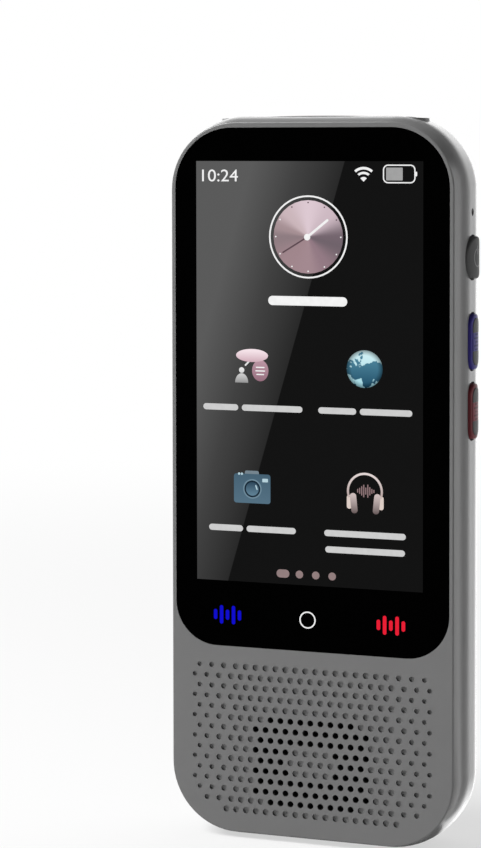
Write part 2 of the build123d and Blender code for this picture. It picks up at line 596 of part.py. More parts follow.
# ---------------------------------------------------------------- speaker and port
def speaker_pieces():
    mesh_back = Y_INSIDE + 0.15
    gasket_back = mesh_back + 0.5
    frame_back = gasket_back + 3.4
    cone_front = gasket_back + 0.7

    def pad(inset):
        return RectangleRounded(SPEAKER_WIDTH - 2 * inset, SPEAKER_HEIGHT - 2 * inset, 4.5 - inset)

    keep("grille_mesh", slab(pad(0.0), Y_INSIDE, mesh_back, 0, Z_GRILLE))
    keep("speaker_gasket", slab(pad(0.0) - pad(1.2), mesh_back, gasket_back, 0, Z_GRILLE))
    basket = slab(pad(0.0), gasket_back, frame_back, 0, Z_GRILLE)
    basket -= slab(pad(1.0), gasket_back - 1, cone_front, 0, Z_GRILLE)
    basket -= slab(pad(2.2), gasket_back - 1, frame_back - 1.0, 0, Z_GRILLE)
    basket -= disc(6.0, gasket_back, frame_back + 1, 0, Z_GRILLE)
    keep("speaker_frame", basket)

    diaphragm = slab(pad(1.1), cone_front - 0.2, cone_front, 0, Z_GRILLE)
    dome_radius = 9.0
    ball = Pos(0, cone_front + dome_radius - 0.9, Z_GRILLE) * Sphere(dome_radius)
    cap = ball & disc(5.0, gasket_back - 1, cone_front - 0.1, 0, Z_GRILLE)
    coil = disc(3.6, cone_front - 0.1, cone_front + 0.8, 0, Z_GRILLE)
    coil -= disc(3.3, cone_front, cone_front + 1, 0, Z_GRILLE)
    keep("speaker_cone", diaphragm + cap + coil)
    magnet = disc(6.0, frame_back - 1.4, frame_back + 0.3, 0, Z_GRILLE)
    keep("speaker_magnet", magnet)
    contact_z = (Z_GRILLE - 4.0, Z_GRILLE - 2.0)
    contacts = [block(x, x + 1.0, frame_back, Y_LOWER_BOARD, *contact_z) for x in (7.8, 10.2)]
    keep("speaker_contacts", *contacts)


def port_pieces():
    bottom, top, wall = 0.5, 7.9, 0.35
    shell = column(RectangleRounded(USB_WIDTH, USB_THICKNESS, 1.5), bottom, top, Y_FOOT)
    inside = RectangleRounded(USB_WIDTH - 2 * wall, USB_THICKNESS - 2 * wall, 1.15)
    shell -= column(inside, bottom - 1, top - 0.8, Y_FOOT)
    keep("usb_c_shell", shell)
    tongue = column(Rectangle(6.6, 0.7), bottom + 0.7, top - 0.8, Y_FOOT)
    keep("usb_c_tongue", tongue)


shell_pieces()
display_pieces()
frame_pieces()
battery_pieces()
board_pieces()
key_pieces()
camera_pieces()
speaker_pieces()
port_pieces()

os.makedirs("parts", exist_ok=True)
for name, shape in made.items():
    export_step(shape, f"parts/{name}.step")
print(len(made), "pieces written")
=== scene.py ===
# %% [markdown]
# # A handheld translator
#
# This lesson dresses the solid parts of a pocket translator: a grey shell with a glass front, a
# drilled speaker panel, three coloured keys on the right side and a camera in the back. The solids
# come in as a fixed frame. Each later cell makes one finish or one small piece and says why it is
# made that way. Lengths are in metres, so a millimetre is written as `MM`.

import json
import math

import bmesh
import bpy
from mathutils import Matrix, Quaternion, Vector

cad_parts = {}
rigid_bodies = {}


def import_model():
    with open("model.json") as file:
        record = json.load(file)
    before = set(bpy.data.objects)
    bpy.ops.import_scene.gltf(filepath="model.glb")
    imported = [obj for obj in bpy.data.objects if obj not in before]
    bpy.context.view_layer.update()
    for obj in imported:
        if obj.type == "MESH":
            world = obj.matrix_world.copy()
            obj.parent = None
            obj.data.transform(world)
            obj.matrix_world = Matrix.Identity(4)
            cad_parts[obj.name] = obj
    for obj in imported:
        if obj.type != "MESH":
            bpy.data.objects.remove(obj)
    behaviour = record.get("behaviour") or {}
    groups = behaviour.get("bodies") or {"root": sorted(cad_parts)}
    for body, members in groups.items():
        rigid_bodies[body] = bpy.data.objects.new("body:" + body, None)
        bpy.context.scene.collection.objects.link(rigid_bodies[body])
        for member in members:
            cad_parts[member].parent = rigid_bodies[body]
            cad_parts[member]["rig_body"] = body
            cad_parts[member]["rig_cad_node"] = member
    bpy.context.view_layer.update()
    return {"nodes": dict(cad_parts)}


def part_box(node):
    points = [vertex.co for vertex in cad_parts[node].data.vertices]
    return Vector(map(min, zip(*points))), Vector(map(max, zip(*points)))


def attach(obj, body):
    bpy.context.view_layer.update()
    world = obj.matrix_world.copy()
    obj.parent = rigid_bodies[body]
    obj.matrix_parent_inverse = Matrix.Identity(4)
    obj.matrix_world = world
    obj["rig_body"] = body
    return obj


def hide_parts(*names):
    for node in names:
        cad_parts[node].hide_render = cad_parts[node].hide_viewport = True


MM = 0.001
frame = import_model()
nodes = frame["nodes"]

# %% [markdown]
# ## Places that everything else is measured from
#
# The screen's picture is centred a little left of the middle and high up on the glass. Every mark on
# the glass is placed from that centre, to the right and upwards, as a designer of the screen would
# do it. The other places are read from the solids, so that nothing has to be fitted by eye.

# %% Places read from the solids
glass_low, glass_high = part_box("cover_glass")
GLASS_FRONT = glass_low.y
PICTURE_CENTRE = Vector((-0.4 * MM, GLASS_FRONT, 86.67 * MM))
PICTURE_WIDTH = 43.6 * MM
PICTURE_HEIGHT = 77.5 * MM
INK = 0.012 * MM

lens_low, lens_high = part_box("camera_lens")
LENS_CENTRE = (lens_low + lens_high) / 2
print("glass front at y", round(GLASS_FRONT / MM, 3), "mm")
print("lens at", [round(v / MM, 2) for v in LENS_CENTRE], "mm")

# %% [markdown]
# ## Camera
#
# A portrait lens from about half a metre away keeps the long device from looking stretched. The
# camera stands a little above the screen's middle and to the right, so the front and the keyed side
# both show. A lens shift keeps the upright edges upright, as a product photographer does it.

# %% Camera
TURN = math.radians(20.666)
DIP = math.radians(2.475)
ROLL = math.radians(-0.099)
FOCAL_LENGTH = 110.23
SHIFT_DOWN = -0.2
camera_place = Vector((154.49, -452.86, 128.88)) * MM
looking = Vector((-math.sin(TURN) * math.cos(DIP), math.cos(TURN) * math.cos(DIP), -math.sin(DIP)))
aim = looking.to_track_quat("-Z", "Y") @ Quaternion((0, 0, 1), ROLL)

bpy.ops.object.camera_add(location=camera_place, rotation=aim.to_euler())
camera = bpy.context.object
camera.name = "portrait_camera"
camera.data.lens = FOCAL_LENGTH
camera.data.shift_y = SHIFT_DOWN
camera.data.dof.use_dof = False
camera.data.clip_start = 1 * MM
bpy.context.scene.camera = camera
print("camera distance:", round((PICTURE_CENTRE - camera_place).length, 3), "m")

# %% [markdown]
# ## Light
#
# A large lamp high on the front left gives the front its tone. The rest of the light is the room's:
# white behind the object, as a studio's backdrop is, and dim behind the camera, where a photographer
# hangs black cloth so that the glass mirrors nothing.

# %% Lamps
OBJECT_MIDDLE = Vector((0, 0, 66 * MM))
LAMP_PLACE = Vector((-0.70, -0.55, 0.95))
LAMP_SIDE = 0.7
LAMP_WATTS = 21.0
to_object = OBJECT_MIDDLE - LAMP_PLACE
turn = to_object.to_track_quat("-Z", "Y").to_euler()
bpy.ops.object.light_add(type="AREA", location=LAMP_PLACE, rotation=turn)
lamp = bpy.context.object
lamp.name = "key_softbox"
lamp.data.shape = "SQUARE"
lamp.data.size = LAMP_SIDE
lamp.data.energy = LAMP_WATTS
lamp.visible_camera = False
print("lamp distance:", round(to_object.length, 2), "m")

# %% [markdown]
# ## The backdrop as a mirror sees it
#
# A satin edge is drawn by what it mirrors, so a photographer shapes the backdrop for it. Straight
# behind the object it is white, which lets the swelling side end in white. To the right of that
# stands a grey card, then a narrow white gap, which draws a thin light line beside the crease, and
# black beyond it. The same pattern holds for the wall and for the floor in front of it. On the floor
# the angle is measured from the foot of the keyed side, because that side's mirror images start there.

# %% Backdrop pattern
BACKDROP_REACH = 70
BACKDROP = [  # degrees to the right of straight behind, and the strength there
    (-65, 0.10), (-40, 1.80), (-5, 2.40), (5, 2.40), (12, 1.70), (19, 1.10), (24, 0.60), (30, 0.33),
    (37, 0.25), (42, 0.50), (48, 3.00), (54, 0.30), (60, 0.10),
]
BRIGHTEST = max(strength for degrees, strength in BACKDROP)
SIDE_EDGE = 27.5 * MM


def add_node(tree, kind, **settings):
    made = tree.nodes.new("ShaderNode" + kind)
    for key, value in settings.items():
        setattr(made, key, value)
    return made


def feed(tree, values, sockets):
    """Gives each socket a value: a number, a vector or another node's output."""
    for value, socket in zip(values, sockets):
        if isinstance(value, bpy.types.NodeSocket):
            tree.links.new(value, socket)
        else:
            socket.default_value = value


def calc(tree, operation, *values):
    """The result of a math node."""
    made = add_node(tree, "Math", operation=operation)
    feed(tree, values, made.inputs)
    return made.outputs[0]


def vector_calc(tree, operation, *values):
    """The result of a vector math node: a number for a length or a dot product."""
    made = add_node(tree, "VectorMath", operation=operation)
    feed(tree, values, made.inputs)
    return made.outputs["Value" if operation in ("LENGTH", "DOT_PRODUCT") else "Vector"]


def spread(tree, value, start, end, low, high):
    """A value that rises smoothly from `low` at `start` to `high` at `end`."""
    rise = add_node(tree, "MapRange", interpolation_type="SMOOTHSTEP")
    feed(tree, (value, start, end, low, high), rise.inputs)
    return rise.outputs["Result"]


def colour_ramp(tree, value, stops):
    """A node that turns a value into colours. Stops are (position, colour)."""
    made = add_node(tree, "ValToRGB")
    elements = made.color_ramp.elements
    while len(elements) < len(stops):
        elements.new(0.5)
    for element, (position, tint) in zip(elements, stops):
        element.position = position
        element.color = tint
    tree.links.new(value, made.inputs["Fac"])
    return made


def mirrored_backdrop(tree, x, y):
    """The backdrop's strength by the angle to the right of straight behind."""
    reach = math.radians(BACKDROP_REACH)
    share = calc(tree, "MULTIPLY_ADD", calc(tree, "ARCTAN2", x, y), 0.5 / reach, 0.5)
    stops = [
        (0.5 + 0.5 * degrees / BACKDROP_REACH, (*[strength / BRIGHTEST] * 3, 1))
        for degrees, strength in BACKDROP
    ]
    return calc(tree, "MULTIPLY", colour_ramp(tree, share, stops).outputs["Color"], BRIGHTEST)


def mirror_rays(tree, rays):
    """1 for what a mirror or clear glass sees, 0 for all else."""
    return calc(tree, "MAXIMUM", rays.outputs["Is Glossy Ray"], rays.outputs["Is Transmission Ray"])


print("backdrop:", len(BACKDROP), "steps, brightest", BRIGHTEST)

# %% [markdown]
# ## The room
#
# The camera sees plain white behind the object, and a mirror sees the backdrop's pattern. Higher up
# the backdrop ends in a dim ceiling, which keeps the front of the device's upper edge dark. Light
# that only falls on the object comes softly from all round: least from the front, most from behind.

# %% Room
ROOM_FRONT = 0.10
ROOM_BACK = 0.80
ROOM_FROM, ROOM_TO = -0.3, 1.0
BACKDROP_FULL, BACKDROP_TOP = 0.25, 0.50
CEILING = 0.05
world = bpy.data.worlds.new("studio_room")
bpy.context.scene.world = world
world.use_nodes = True
room = world.node_tree
room.nodes.clear()
direction = add_node(room, "SeparateXYZ")
room.links.new(add_node(room, "TexCoord").outputs["Generated"], direction.inputs["Vector"])
rays = add_node(room, "LightPath")
mirrored = mirror_rays(room, rays)
backdrop = mirrored_backdrop(room, direction.outputs["X"], direction.outputs["Y"])
height = spread(room, direction.outputs["Z"], BACKDROP_FULL, BACKDROP_TOP, 1.0, CEILING)
backdrop = calc(room, "MULTIPLY", backdrop, height)
falling = spread(room, direction.outputs["Y"], ROOM_FROM, ROOM_TO, ROOM_FRONT, ROOM_BACK)
others = calc(room, "MULTIPLY", falling, calc(room, "SUBTRACT", 1.0, mirrored))
strength = calc(room, "MULTIPLY_ADD", backdrop, mirrored, others)
wall = add_node(room, "Background")
wall.inputs["Color"].default_value = (1, 1, 1, 1)
strength = calc(room, "MAXIMUM", rays.outputs["Is Camera Ray"], strength)
room.links.new(strength, wall.inputs["Strength"])
room.links.new(wall.outputs["Background"], add_node(room, "OutputWorld").inputs["Surface"])
bpy.context.scene.view_settings.view_transform = "Standard"
print("room strength from", ROOM_FRONT, "to", ROOM_BACK)

# %% [markdown]
# ## Floor
#
# The device stands on a round pale sheet. Part of the brightness that the camera sees is the
# sheet's own, and the rest is what the light leaves, which keeps a soft shadow under the device.
# The own part grows to all of it at the rim, so that the sheet melts into the white backdrop.

# %% Floor
FLOOR_RADIUS = 0.6
FLOOR_EVEN = 0.25 * FLOOR_RADIUS
FLOOR_STEPS = 96
FLOOR_OWN_SHARE = 0.60
FLOOR_WHITE = 0.80
bpy.ops.mesh.primitive_circle_add(vertices=FLOOR_STEPS, radius=FLOOR_RADIUS, fill_type="NGON")
floor = bpy.context.object
floor.name = "studio_floor"
paper_material = bpy.data.materials.new("white_paper")
paper_material.use_nodes = True
paper = paper_material.node_tree
paper.nodes.clear()
lit = add_node(paper, "BsdfDiffuse")
lit.inputs["Color"].default_value = (FLOOR_WHITE, FLOOR_WHITE, FLOOR_WHITE, 1)
own = add_node(paper, "Emission")
rays = add_node(paper, "LightPath")
mirrored = mirror_rays(paper, rays)
spot = add_node(paper, "TexCoord").outputs["Object"]
place = add_node(paper, "SeparateXYZ")
paper.links.new(spot, place.inputs["Vector"])
reach = vector_calc(paper, "LENGTH", spot)
own_share = spread(paper, reach, FLOOR_EVEN, FLOOR_RADIUS, FLOOR_OWN_SHARE, 1.0)
from_side = calc(paper, "SUBTRACT", place.outputs["X"], SIDE_EDGE)
backdrop = mirrored_backdrop(paper, from_side, place.outputs["Y"])
in_mirror = calc(paper, "MULTIPLY", backdrop, mirrored)
strength = calc(paper, "MAXIMUM", in_mirror, rays.outputs["Is Camera Ray"])
paper.links.new(strength, own.inputs["Strength"])
seen = calc(paper, "MULTIPLY", own_share, rays.outputs["Is Camera Ray"])
mix = add_node(paper, "MixShader")
paper.links.new(calc(paper, "MAXIMUM", seen, mirrored), mix.inputs["Fac"])
paper.links.new(lit.outputs[0], mix.inputs[1])
paper.links.new(own.outputs[0], mix.inputs[2])
paper.links.new(mix.outputs[0], add_node(paper, "OutputMaterial").inputs["Surface"])
floor.data.materials.append(paper_material)
print("floor radius:", FLOOR_RADIUS, "m")

# %% [markdown]
# ## A finish with grain
#
# Paint, moulded plastic and cast metal are never one flat colour. Close up they have a fine grain,
# and further off they are a little uneven. One function builds such a finish from two noises on
# Object coordinates: a coarse one shifts the colour and the roughness, and a fine one is the grain
# that the light catches. Two things that are the same all over, metal and clear coat, are set on the
# shader itself.

# %% The grained finish
def grey(level):
    """A screen grey of 0 to 255 as the shader's own brightness."""
    return colour(level, level, level)


def colour(red, green, blue):
    """A screen colour of 0 to 255 per channel as the shader's own brightness."""
    channels = []
    for value in (red, green, blue):
        share = value / 255
        channels.append(share / 12.92 if share <= 0.04045 else ((share + 0.055) / 1.055) ** 2.4)
    return (*channels, 1.0)


def scaled(tint, factor):
    return (*(min(channel * factor, 1.0) for channel in tint[:3]), 1.0)


class Finish:
    """A new material with a Principled shader, and short ways to add and join its nodes."""

    def __init__(self, name, roughness=0.5, metal=0.0, coat=0.0, specular=0.5):
        self.material = bpy.data.materials.new(name)
        self.material.use_nodes = True
        self.tree = self.material.node_tree
        self.shader = self.tree.nodes["Principled BSDF"]
        sockets = ("Roughness", "Metallic", "Coat Weight", "Specular IOR Level")
        for socket, value in zip(sockets, (roughness, metal, coat, specular)):
            self.shader.inputs[socket].default_value = value
        self.place = self.node("TexCoord").outputs["Object"]

    def node(self, kind, **settings):
        return add_node(self.tree, kind, **settings)

    def join(self, source, target):
        """Joins an output to a socket, or to one of the shader's sockets by its name."""
        if isinstance(target, str):
            target = self.shader.inputs[target]
        self.tree.links.new(source, target)

    def moved(self, location=(0, 0, 0), rotation=(0, 0, 0), scale=(1, 1, 1)):
        """Object coordinates moved, turned and stretched."""
        mapping = self.node("Mapping")
        feed(self.tree, (self.place, location, rotation, scale), mapping.inputs)
        return mapping.outputs["Vector"]

    def noise(self, size, detail=3.0, place=None):
        """Noise whose lumps are about `size` metres across."""
        made = self.node("TexNoise")
        made.inputs["Scale"].default_value = 1 / size
        made.inputs["Detail"].default_value = detail
        self.join(place or self.place, made.inputs["Vector"])
        return made.outputs["Fac"]

    def ramp(self, value, stops, target):
        """Turns a value into colours: stops are (position, colour)."""
        made = colour_ramp(self.tree, value, stops)
        self.join(made.outputs["Color"], target)
        return made

    def span(self, value, low, high, target):
        """Turns 0 to 1 into low to high."""
        made = self.node("MapRange")
        feed(self.tree, (value, 0.0, 1.0, low, high), made.inputs)
        self.join(made.outputs["Result"], target)

    def product(self):
        """A node that multiplies the colours A and B."""
        made = self.node("Mix", data_type="RGBA", blend_type="MULTIPLY")
        made.inputs["Factor"].default_value = 1.0
        return made

    def bump(self, height, depth, strength=0.5):
        made = self.node("Bump")
        made.inputs["Distance"].default_value = depth
        made.inputs["Strength"].default_value = strength
        self.join(height, made.inputs["Height"])
        self.join(made.outputs["Normal"], "Normal")


CLOUD = 9 * MM
UNEVEN = 0.03


def grained(name, tint, roughness, metal=0.0, coat=0.0, grain=0.3 * MM, depth=0.01 * MM, mottle=0.05,
            specular=0.5):
    """Paint, plastic or cast metal: uneven colour and roughness, and a fine raised grain."""
    made = Finish(name, roughness, metal, coat, specular)
    cloud = made.noise(CLOUD)
    stops = [(0.25, scaled(tint, 1 - mottle)), (0.75, scaled(tint, 1 + mottle))]
    made.ramp(cloud, stops, "Base Color")
    made.span(cloud, roughness - UNEVEN, roughness + UNEVEN, "Roughness")
    made.bump(made.noise(grain, 2.0), depth, 0.35)
    return made.material


def brushed(name, tint, roughness, along=(1, 1, 12), metal=1.0):
    """Drawn or rolled metal: scratches that run along one axis."""
    made = Finish(name, roughness, metal)
    scratches = made.noise(2 * MM, 4.0, made.moved(scale=along))
    stops = [(0.3, scaled(tint, 0.86)), (0.7, scaled(tint, 1.08))]
    made.ramp(scratches, stops, "Base Color")
    made.span(scratches, roughness - 0.08, roughness + 0.08, "Roughness")
    made.bump(scratches, 0.01 * MM, 0.3)
    return made.material


# %% [markdown]
# ## Finishes of the outer pieces
#
# The shell and the back cover are sprayed with the same satin grey. The keys are a darker, rougher
# plastic, and the long ones are held in blue and red and have a window of the same colour. The glass
# is black behind a polished face with an anti-reflective film, so its mirror is weaker than plain
# glass has. A finish is one material that several solids can share. It replaces the plain colour
# that a solid arrives with.

# %% Outer finishes
dressed = set()


def use(material, *solids):
    """Gives one finish to the solids that share it."""
    for name in solids:
        nodes[name].data.materials.clear()
        nodes[name].data.materials.append(material)
    dressed.update(solids)
    return material


SATIN = {"roughness": 0.22, "grain": 0.12 * MM, "depth": 0.003 * MM, "mottle": 0.02}
COARSE = {"roughness": 0.6, "grain": 0.4 * MM, "depth": 0.03 * MM, "mottle": 0.12}
use(grained("shell_paint", grey(118), **SATIN), "front_housing")
use(grained("cover_paint", grey(116), **SATIN), "rear_cover")
use(grained("plate_plastic", grey(150), 0.38, mottle=0.03), "top_plate")
use(
    grained("key_plastic", grey(88), 0.5, mottle=0.04, specular=0.25),
    "blue_key_face", "red_key_face",
)
use(grained("power_plastic", grey(94), specular=0.25, **COARSE), "power_key")
use(grained("blue_plastic", colour(58, 50, 136), 0.45, mottle=0.05, specular=0.25), "blue_key_body")
use(grained("red_plastic", colour(116, 46, 52), 0.45, mottle=0.05, specular=0.25), "red_key_body")
use(grained("blue_window", colour(66, 60, 136), 0.45, mottle=0.05, specular=0.3), "blue_key_window")
use(grained("red_window", colour(132, 56, 68), 0.45, mottle=0.05, specular=0.3), "red_key_window")
use(
    grained("black_glass", grey(1), 0.05, grain=3 * MM, depth=0.0003 * MM, mottle=0.2, specular=0.02),
    "cover_glass",
)
use(brushed("port_metal", grey(190), 0.32, along=(1, 1, 0.2)), "usb_c_shell")
use(
    grained("black_plastic", grey(22), 0.45),
    "usb_c_tongue", "processor", "camera_module", "display_connector", "speaker_frame",
)
print("shell grey:", [round(channel, 3) for channel in grey(118)[:3]])

# %% [markdown]
# ## The camera's finishes
#
# The ring is black metal turned on a lathe. The cutter leaves grooves round the axis, too fine to
# see, which stretch every reflection into a wedge. The shader's anisotropy stretches them so, once it
# is told which way the grooves run, and a ramp over the angle round the axis paints further wedges
# into the colour: painted reflections that a room with few lamps wouldn't give. Its outermost edge is
# darkened to a thin line. The lens's violet rings are painted reflections of its coatings, laid into
# the colour by the distance from the axis, and the lens is nearly black in the middle.

# %% Turned ring and coated lens
def from_axis(made, centre):
    """The sideways offset of a point from an axis that runs along Y."""
    offset = vector_calc(made.tree, "SUBTRACT", made.place, centre)
    return vector_calc(made.tree, "MULTIPLY", offset, (1, 0, 1))


def distance(made, offset, reach):
    """How far out a point is, from 0 on the axis to 1 at `reach`."""
    return calc(made.tree, "DIVIDE", vector_calc(made.tree, "LENGTH", offset), reach)


def angle_round(made, offset):
    """The angle round the axis, from 0 to 1. It is 0.5 towards +X and 0.75 upwards."""
    parts = made.node("SeparateXYZ")
    made.join(offset, parts.inputs[0])
    angle = calc(made.tree, "ARCTAN2", parts.outputs["Z"], parts.outputs["X"])
    turn = made.node("MapRange")
    feed(made.tree, (angle, -math.pi, math.pi), turn.inputs)
    return turn.outputs["Result"]


RING_PAINTED_WEDGES = [
    (0.0, grey(18)), (0.1, grey(142)), (0.21, grey(10)), (0.345, grey(66)), (0.46, grey(7)),
    (0.61, grey(142)), (0.75, grey(7)), (0.865, grey(62)), (0.98, grey(15)), (1.0, grey(18)),
]
GROOVES = 220.0


def turned_metal(name, centre, reach):
    made = Finish(name, 0.34, metal=1.0)
    made.shader.inputs["Anisotropic"].default_value = 0.6
    offset = from_axis(made, centre)
    around = vector_calc(made.tree, "CROSS_PRODUCT", offset, (0, 1, 0))
    made.join(around, "Tangent")
    out = distance(made, offset, reach)
    tone = made.product()
    # Painted reflections: light and dark wedges by the angle round the axis, in the base colour.
    wedges = made.ramp(angle_round(made, offset), RING_PAINTED_WEDGES, tone.inputs["A"])
    wedges.color_ramp.interpolation = "EASE"
    # The outermost edge of the ring is darkened to a thin line.
    made.ramp(out, [(0.955, grey(255)), (0.965, grey(24))], tone.inputs["B"])
    made.join(tone.outputs["Result"], "Base Color")
    made.bump(calc(made.tree, "SINE", calc(made.tree, "MULTIPLY", out, GROOVES)), 0.002 * MM, 0.3)
    return made.material


def by_distance(name, roughness, coat, centre, reach, stops):
    """A finish whose colour follows the distance from the lens's axis."""
    made = Finish(name, roughness, coat=coat)
    made.ramp(distance(made, from_axis(made, centre), reach), stops, "Base Color")
    made.bump(made.noise(4 * MM), 0.0005 * MM, 0.2)
    return made.material


BARREL_RINGS = [
    (0.0, grey(3)), (0.80, grey(3)), (0.84, grey(52)), (0.91, grey(52)), (0.94, grey(4)),
    (1.0, grey(4)),
]
# Painted reflections: the coatings' violet rings by the distance from the axis, nearly black in the
# middle.
LENS_PAINTED_REFLECTIONS = [
    (0.0, colour(16, 14, 54)), (0.22, colour(10, 10, 44)), (0.42, colour(34, 30, 100)),
    (0.6, colour(20, 18, 72)), (0.78, colour(82, 76, 150)), (0.9, colour(28, 24, 84)),
    (1.0, colour(8, 8, 12)),
]
RING_RADIUS = 6.4 * MM
BARREL_RADIUS = 2.7 * MM
LENS_RADIUS = 1.7 * MM
use(turned_metal("ring_metal", LENS_CENTRE, RING_RADIUS), "camera_ring")
use(
    by_distance("barrel_black", 0.4, 0.0, LENS_CENTRE, BARREL_RADIUS, BARREL_RINGS),
    "camera_barrel",
)
use(by_distance("lens_glass", 0.05, 1.0, LENS_CENTRE, LENS_RADIUS, LENS_PAINTED_REFLECTIONS), "camera_lens")
print("ring wedges:", len(RING_PAINTED_WEDGES), "lens rings:", len(LENS_PAINTED_REFLECTIONS))

# %% [markdown]
# ## Finishes inside
#
# The inner pieces show only when the device is taken apart, but they get their real finishes too: a
# circuit board's lacquer with paler tracks under it, foil on the battery, open foam, woven mesh and
# amber flat cable.

# %% Inner finishes
TRACK_PITCH = 6 * MM
CELL = 0.35 * MM
BANDS_PER_UNIT = 3.2


def circuit_board(name, tint):
    """Green lacquer over copper: square tracks show a little paler."""
    made = Finish(name, 0.32, coat=0.3)
    tracks = made.node("TexBrick")
    tracks.inputs["Scale"].default_value = 1 / TRACK_PITCH
    tracks.inputs["Mortar Size"].default_value = 0.06
    tracks.inputs["Color1"].default_value = tint
    tracks.inputs["Color2"].default_value = scaled(tint, 0.8)
    tracks.inputs["Mortar"].default_value = scaled(tint, 1.9)
    made.join(made.moved(rotation=(math.radians(90), 0, 0)), tracks.inputs["Vector"])
    made.join(tracks.outputs["Color"], "Base Color")
    made.bump(tracks.outputs["Fac"], 0.02 * MM, 0.4)
    return made.material


def woven(name, tint, pitch):
    """A plain weave: two sets of threads that cross."""
    made = Finish(name, 0.7)
    sets = []
    for axis in ("X", "Z"):
        wave = made.node("TexWave", bands_direction=axis)
        wave.inputs["Scale"].default_value = 1 / pitch / BANDS_PER_UNIT
        made.join(made.place, wave.inputs["Vector"])
        sets.append(wave.outputs["Fac"])
    both = calc(made.tree, "MULTIPLY", *sets)
    made.ramp(both, [(0.0, scaled(tint, 0.3)), (0.6, tint)], "Base Color")
    made.bump(both, 0.05 * MM, 0.6)
    return made.material


def foam(name, tint):
    """Open cells of about a third of a millimetre."""
    made = Finish(name, 0.9)
    cells = made.node("TexVoronoi")
    cells.inputs["Scale"].default_value = 1 / CELL
    made.join(made.place, cells.inputs["Vector"])
    stops = [(0.0, scaled(tint, 0.3)), (0.7, tint)]
    made.ramp(cells.outputs["Distance"], stops, "Base Color")
    made.bump(cells.outputs["Distance"], 0.1 * MM, 0.8)
    return made.material


use(
    circuit_board("board_lacquer", colour(22, 92, 58)),
    "main_board", "lower_board", "side_key_board", "battery_board",
)
use(foam("black_foam", grey(48)), "camera_foam", "speaker_gasket")
use(woven("black_mesh", grey(20), 0.15 * MM), "grille_mesh")
use(
    brushed("steel", grey(175), 0.3),
    "processor_shield", "radio_shield", "power_switch", "blue_key_switch", "red_key_switch",
    "side_microphone", "board_screws", "lower_board_screws",
)
use(grained("cast_metal", grey(165), 0.45, metal=0.9, grain=0.5 * MM), "mid_frame", "key_bracket")
use(
    grained("foil", grey(180), 0.28, metal=0.9, grain=2.5 * MM, depth=0.08 * MM, mottle=0.06),
    "battery",
)
use(grained("amber_film", colour(176, 106, 36), 0.3, coat=0.4), "display_flex", "board_link_flex")
use(grained("white_plastic", grey(225), 0.45), "display_backlight", "battery_plug")
use(grained("red_lead", colour(170, 30, 28), 0.5), "battery_lead")
use(brushed("copper", colour(190, 120, 80), 0.3), "antenna_strip")
brass = use(brushed("brass", colour(214, 174, 88), 0.28), "speaker_contacts")
use(grained("rubber", grey(34), 0.75), "microphone_boot", "glass_adhesive", "battery_tape")
use(brushed("iron", grey(140), 0.4), "speaker_magnet")
use(grained("cone_film", grey(70), 0.5, grain=1 * MM, depth=0.04 * MM), "speaker_cone")
use(grained("panel_glass", grey(14), 0.1, grain=3 * MM, depth=0.001 * MM), "display_panel")
print("solids with a finish:", len(dressed), "left bare:", sorted(set(nodes) - dressed))

# %% [markdown]
# ## Working by hand, in code
#
# The next pieces are modelled as by hand. An operator acts on everything that is selected, so each
# piece starts with nothing selected at all. Faces are then picked by where they are.

# %% Selecting
def fresh():
    """Object mode, with nothing selected."""
    if bpy.context.mode != "OBJECT":
        bpy.ops.object.mode_set(mode="OBJECT")
    bpy.ops.object.select_all(action="DESELECT")


def hold(*pieces):
    """Selects these pieces and nothing else. The first one is active."""
    fresh()
    for piece in pieces:
        piece.select_set(True)
    bpy.context.view_layer.objects.active = pieces[0]


def edit(piece, select="SELECT"):
    """Edit mode on one piece, with all of it selected, or none of it."""
    hold(piece)
    bpy.ops.object.mode_set(mode="EDIT")
    bpy.ops.mesh.select_mode(type="FACE")
    bpy.ops.mesh.select_all(action=select)


def pick_faces(piece, wanted):
    """In edit mode, selects the faces whose middle passes the test."""
    mesh = bmesh.from_edit_mesh(piece.data)
    for face in mesh.faces:
        face.select_set(wanted(face.calc_center_median()))
    bmesh.update_edit_mesh(piece.data)


def apply_place():
    """Moves the selected piece's place, turn and size into its mesh."""
    bpy.ops.object.transform_apply(location=True, rotation=True, scale=True)


def joined(pieces):
    """One piece out of several."""
    hold(*pieces)
    if len(pieces) > 1:
        bpy.ops.object.join()
    return bpy.context.view_layer.objects.active


def finish_modifier(piece, kind, **settings):
    """Adds a modifier and applies it."""
    modifier = piece.modifiers.new(kind.lower(), kind)
    for key, value in settings.items():
        setattr(modifier, key, value)
    hold(piece)
    bpy.ops.object.modifier_apply(modifier=modifier.name)


# %% [markdown]
# ## Smooth skins
#
# The solids arrive as loose triangles, and each one catches the light on its own. A visible curved
# piece therefore gets a skin: a copy whose corners are merged and whose gentle edges are shaded
# smooth, while its sharp ones stay sharp. Large flat faces lead the shading, so they stay flat up to
# the small round that borders them.

# %% Skins over the visible solids
SMOOTH_BELOW = math.radians(32)
MERGE = 0.0005 * MM


def skin(node):
    """A merged, smoothly shaded copy that stands for the solid and rides on the same body."""
    body = nodes[node]["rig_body"]
    piece = nodes[node].copy()
    piece.data = nodes[node].data.copy()
    piece.name = node + "_skin"
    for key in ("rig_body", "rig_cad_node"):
        del piece[key]
    piece.parent = None
    bpy.context.scene.collection.objects.link(piece)
    hold(piece)
    bpy.ops.mesh.customdata_custom_splitnormals_clear()
    edit(piece)
    bpy.ops.mesh.remove_doubles(threshold=MERGE)
    hold(piece)
    bpy.ops.object.shade_smooth_by_angle(angle=SMOOTH_BELOW)
    finish_modifier(piece, "WEIGHTED_NORMAL", keep_sharp=True)
    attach(piece, body)
    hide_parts(node)
    return piece


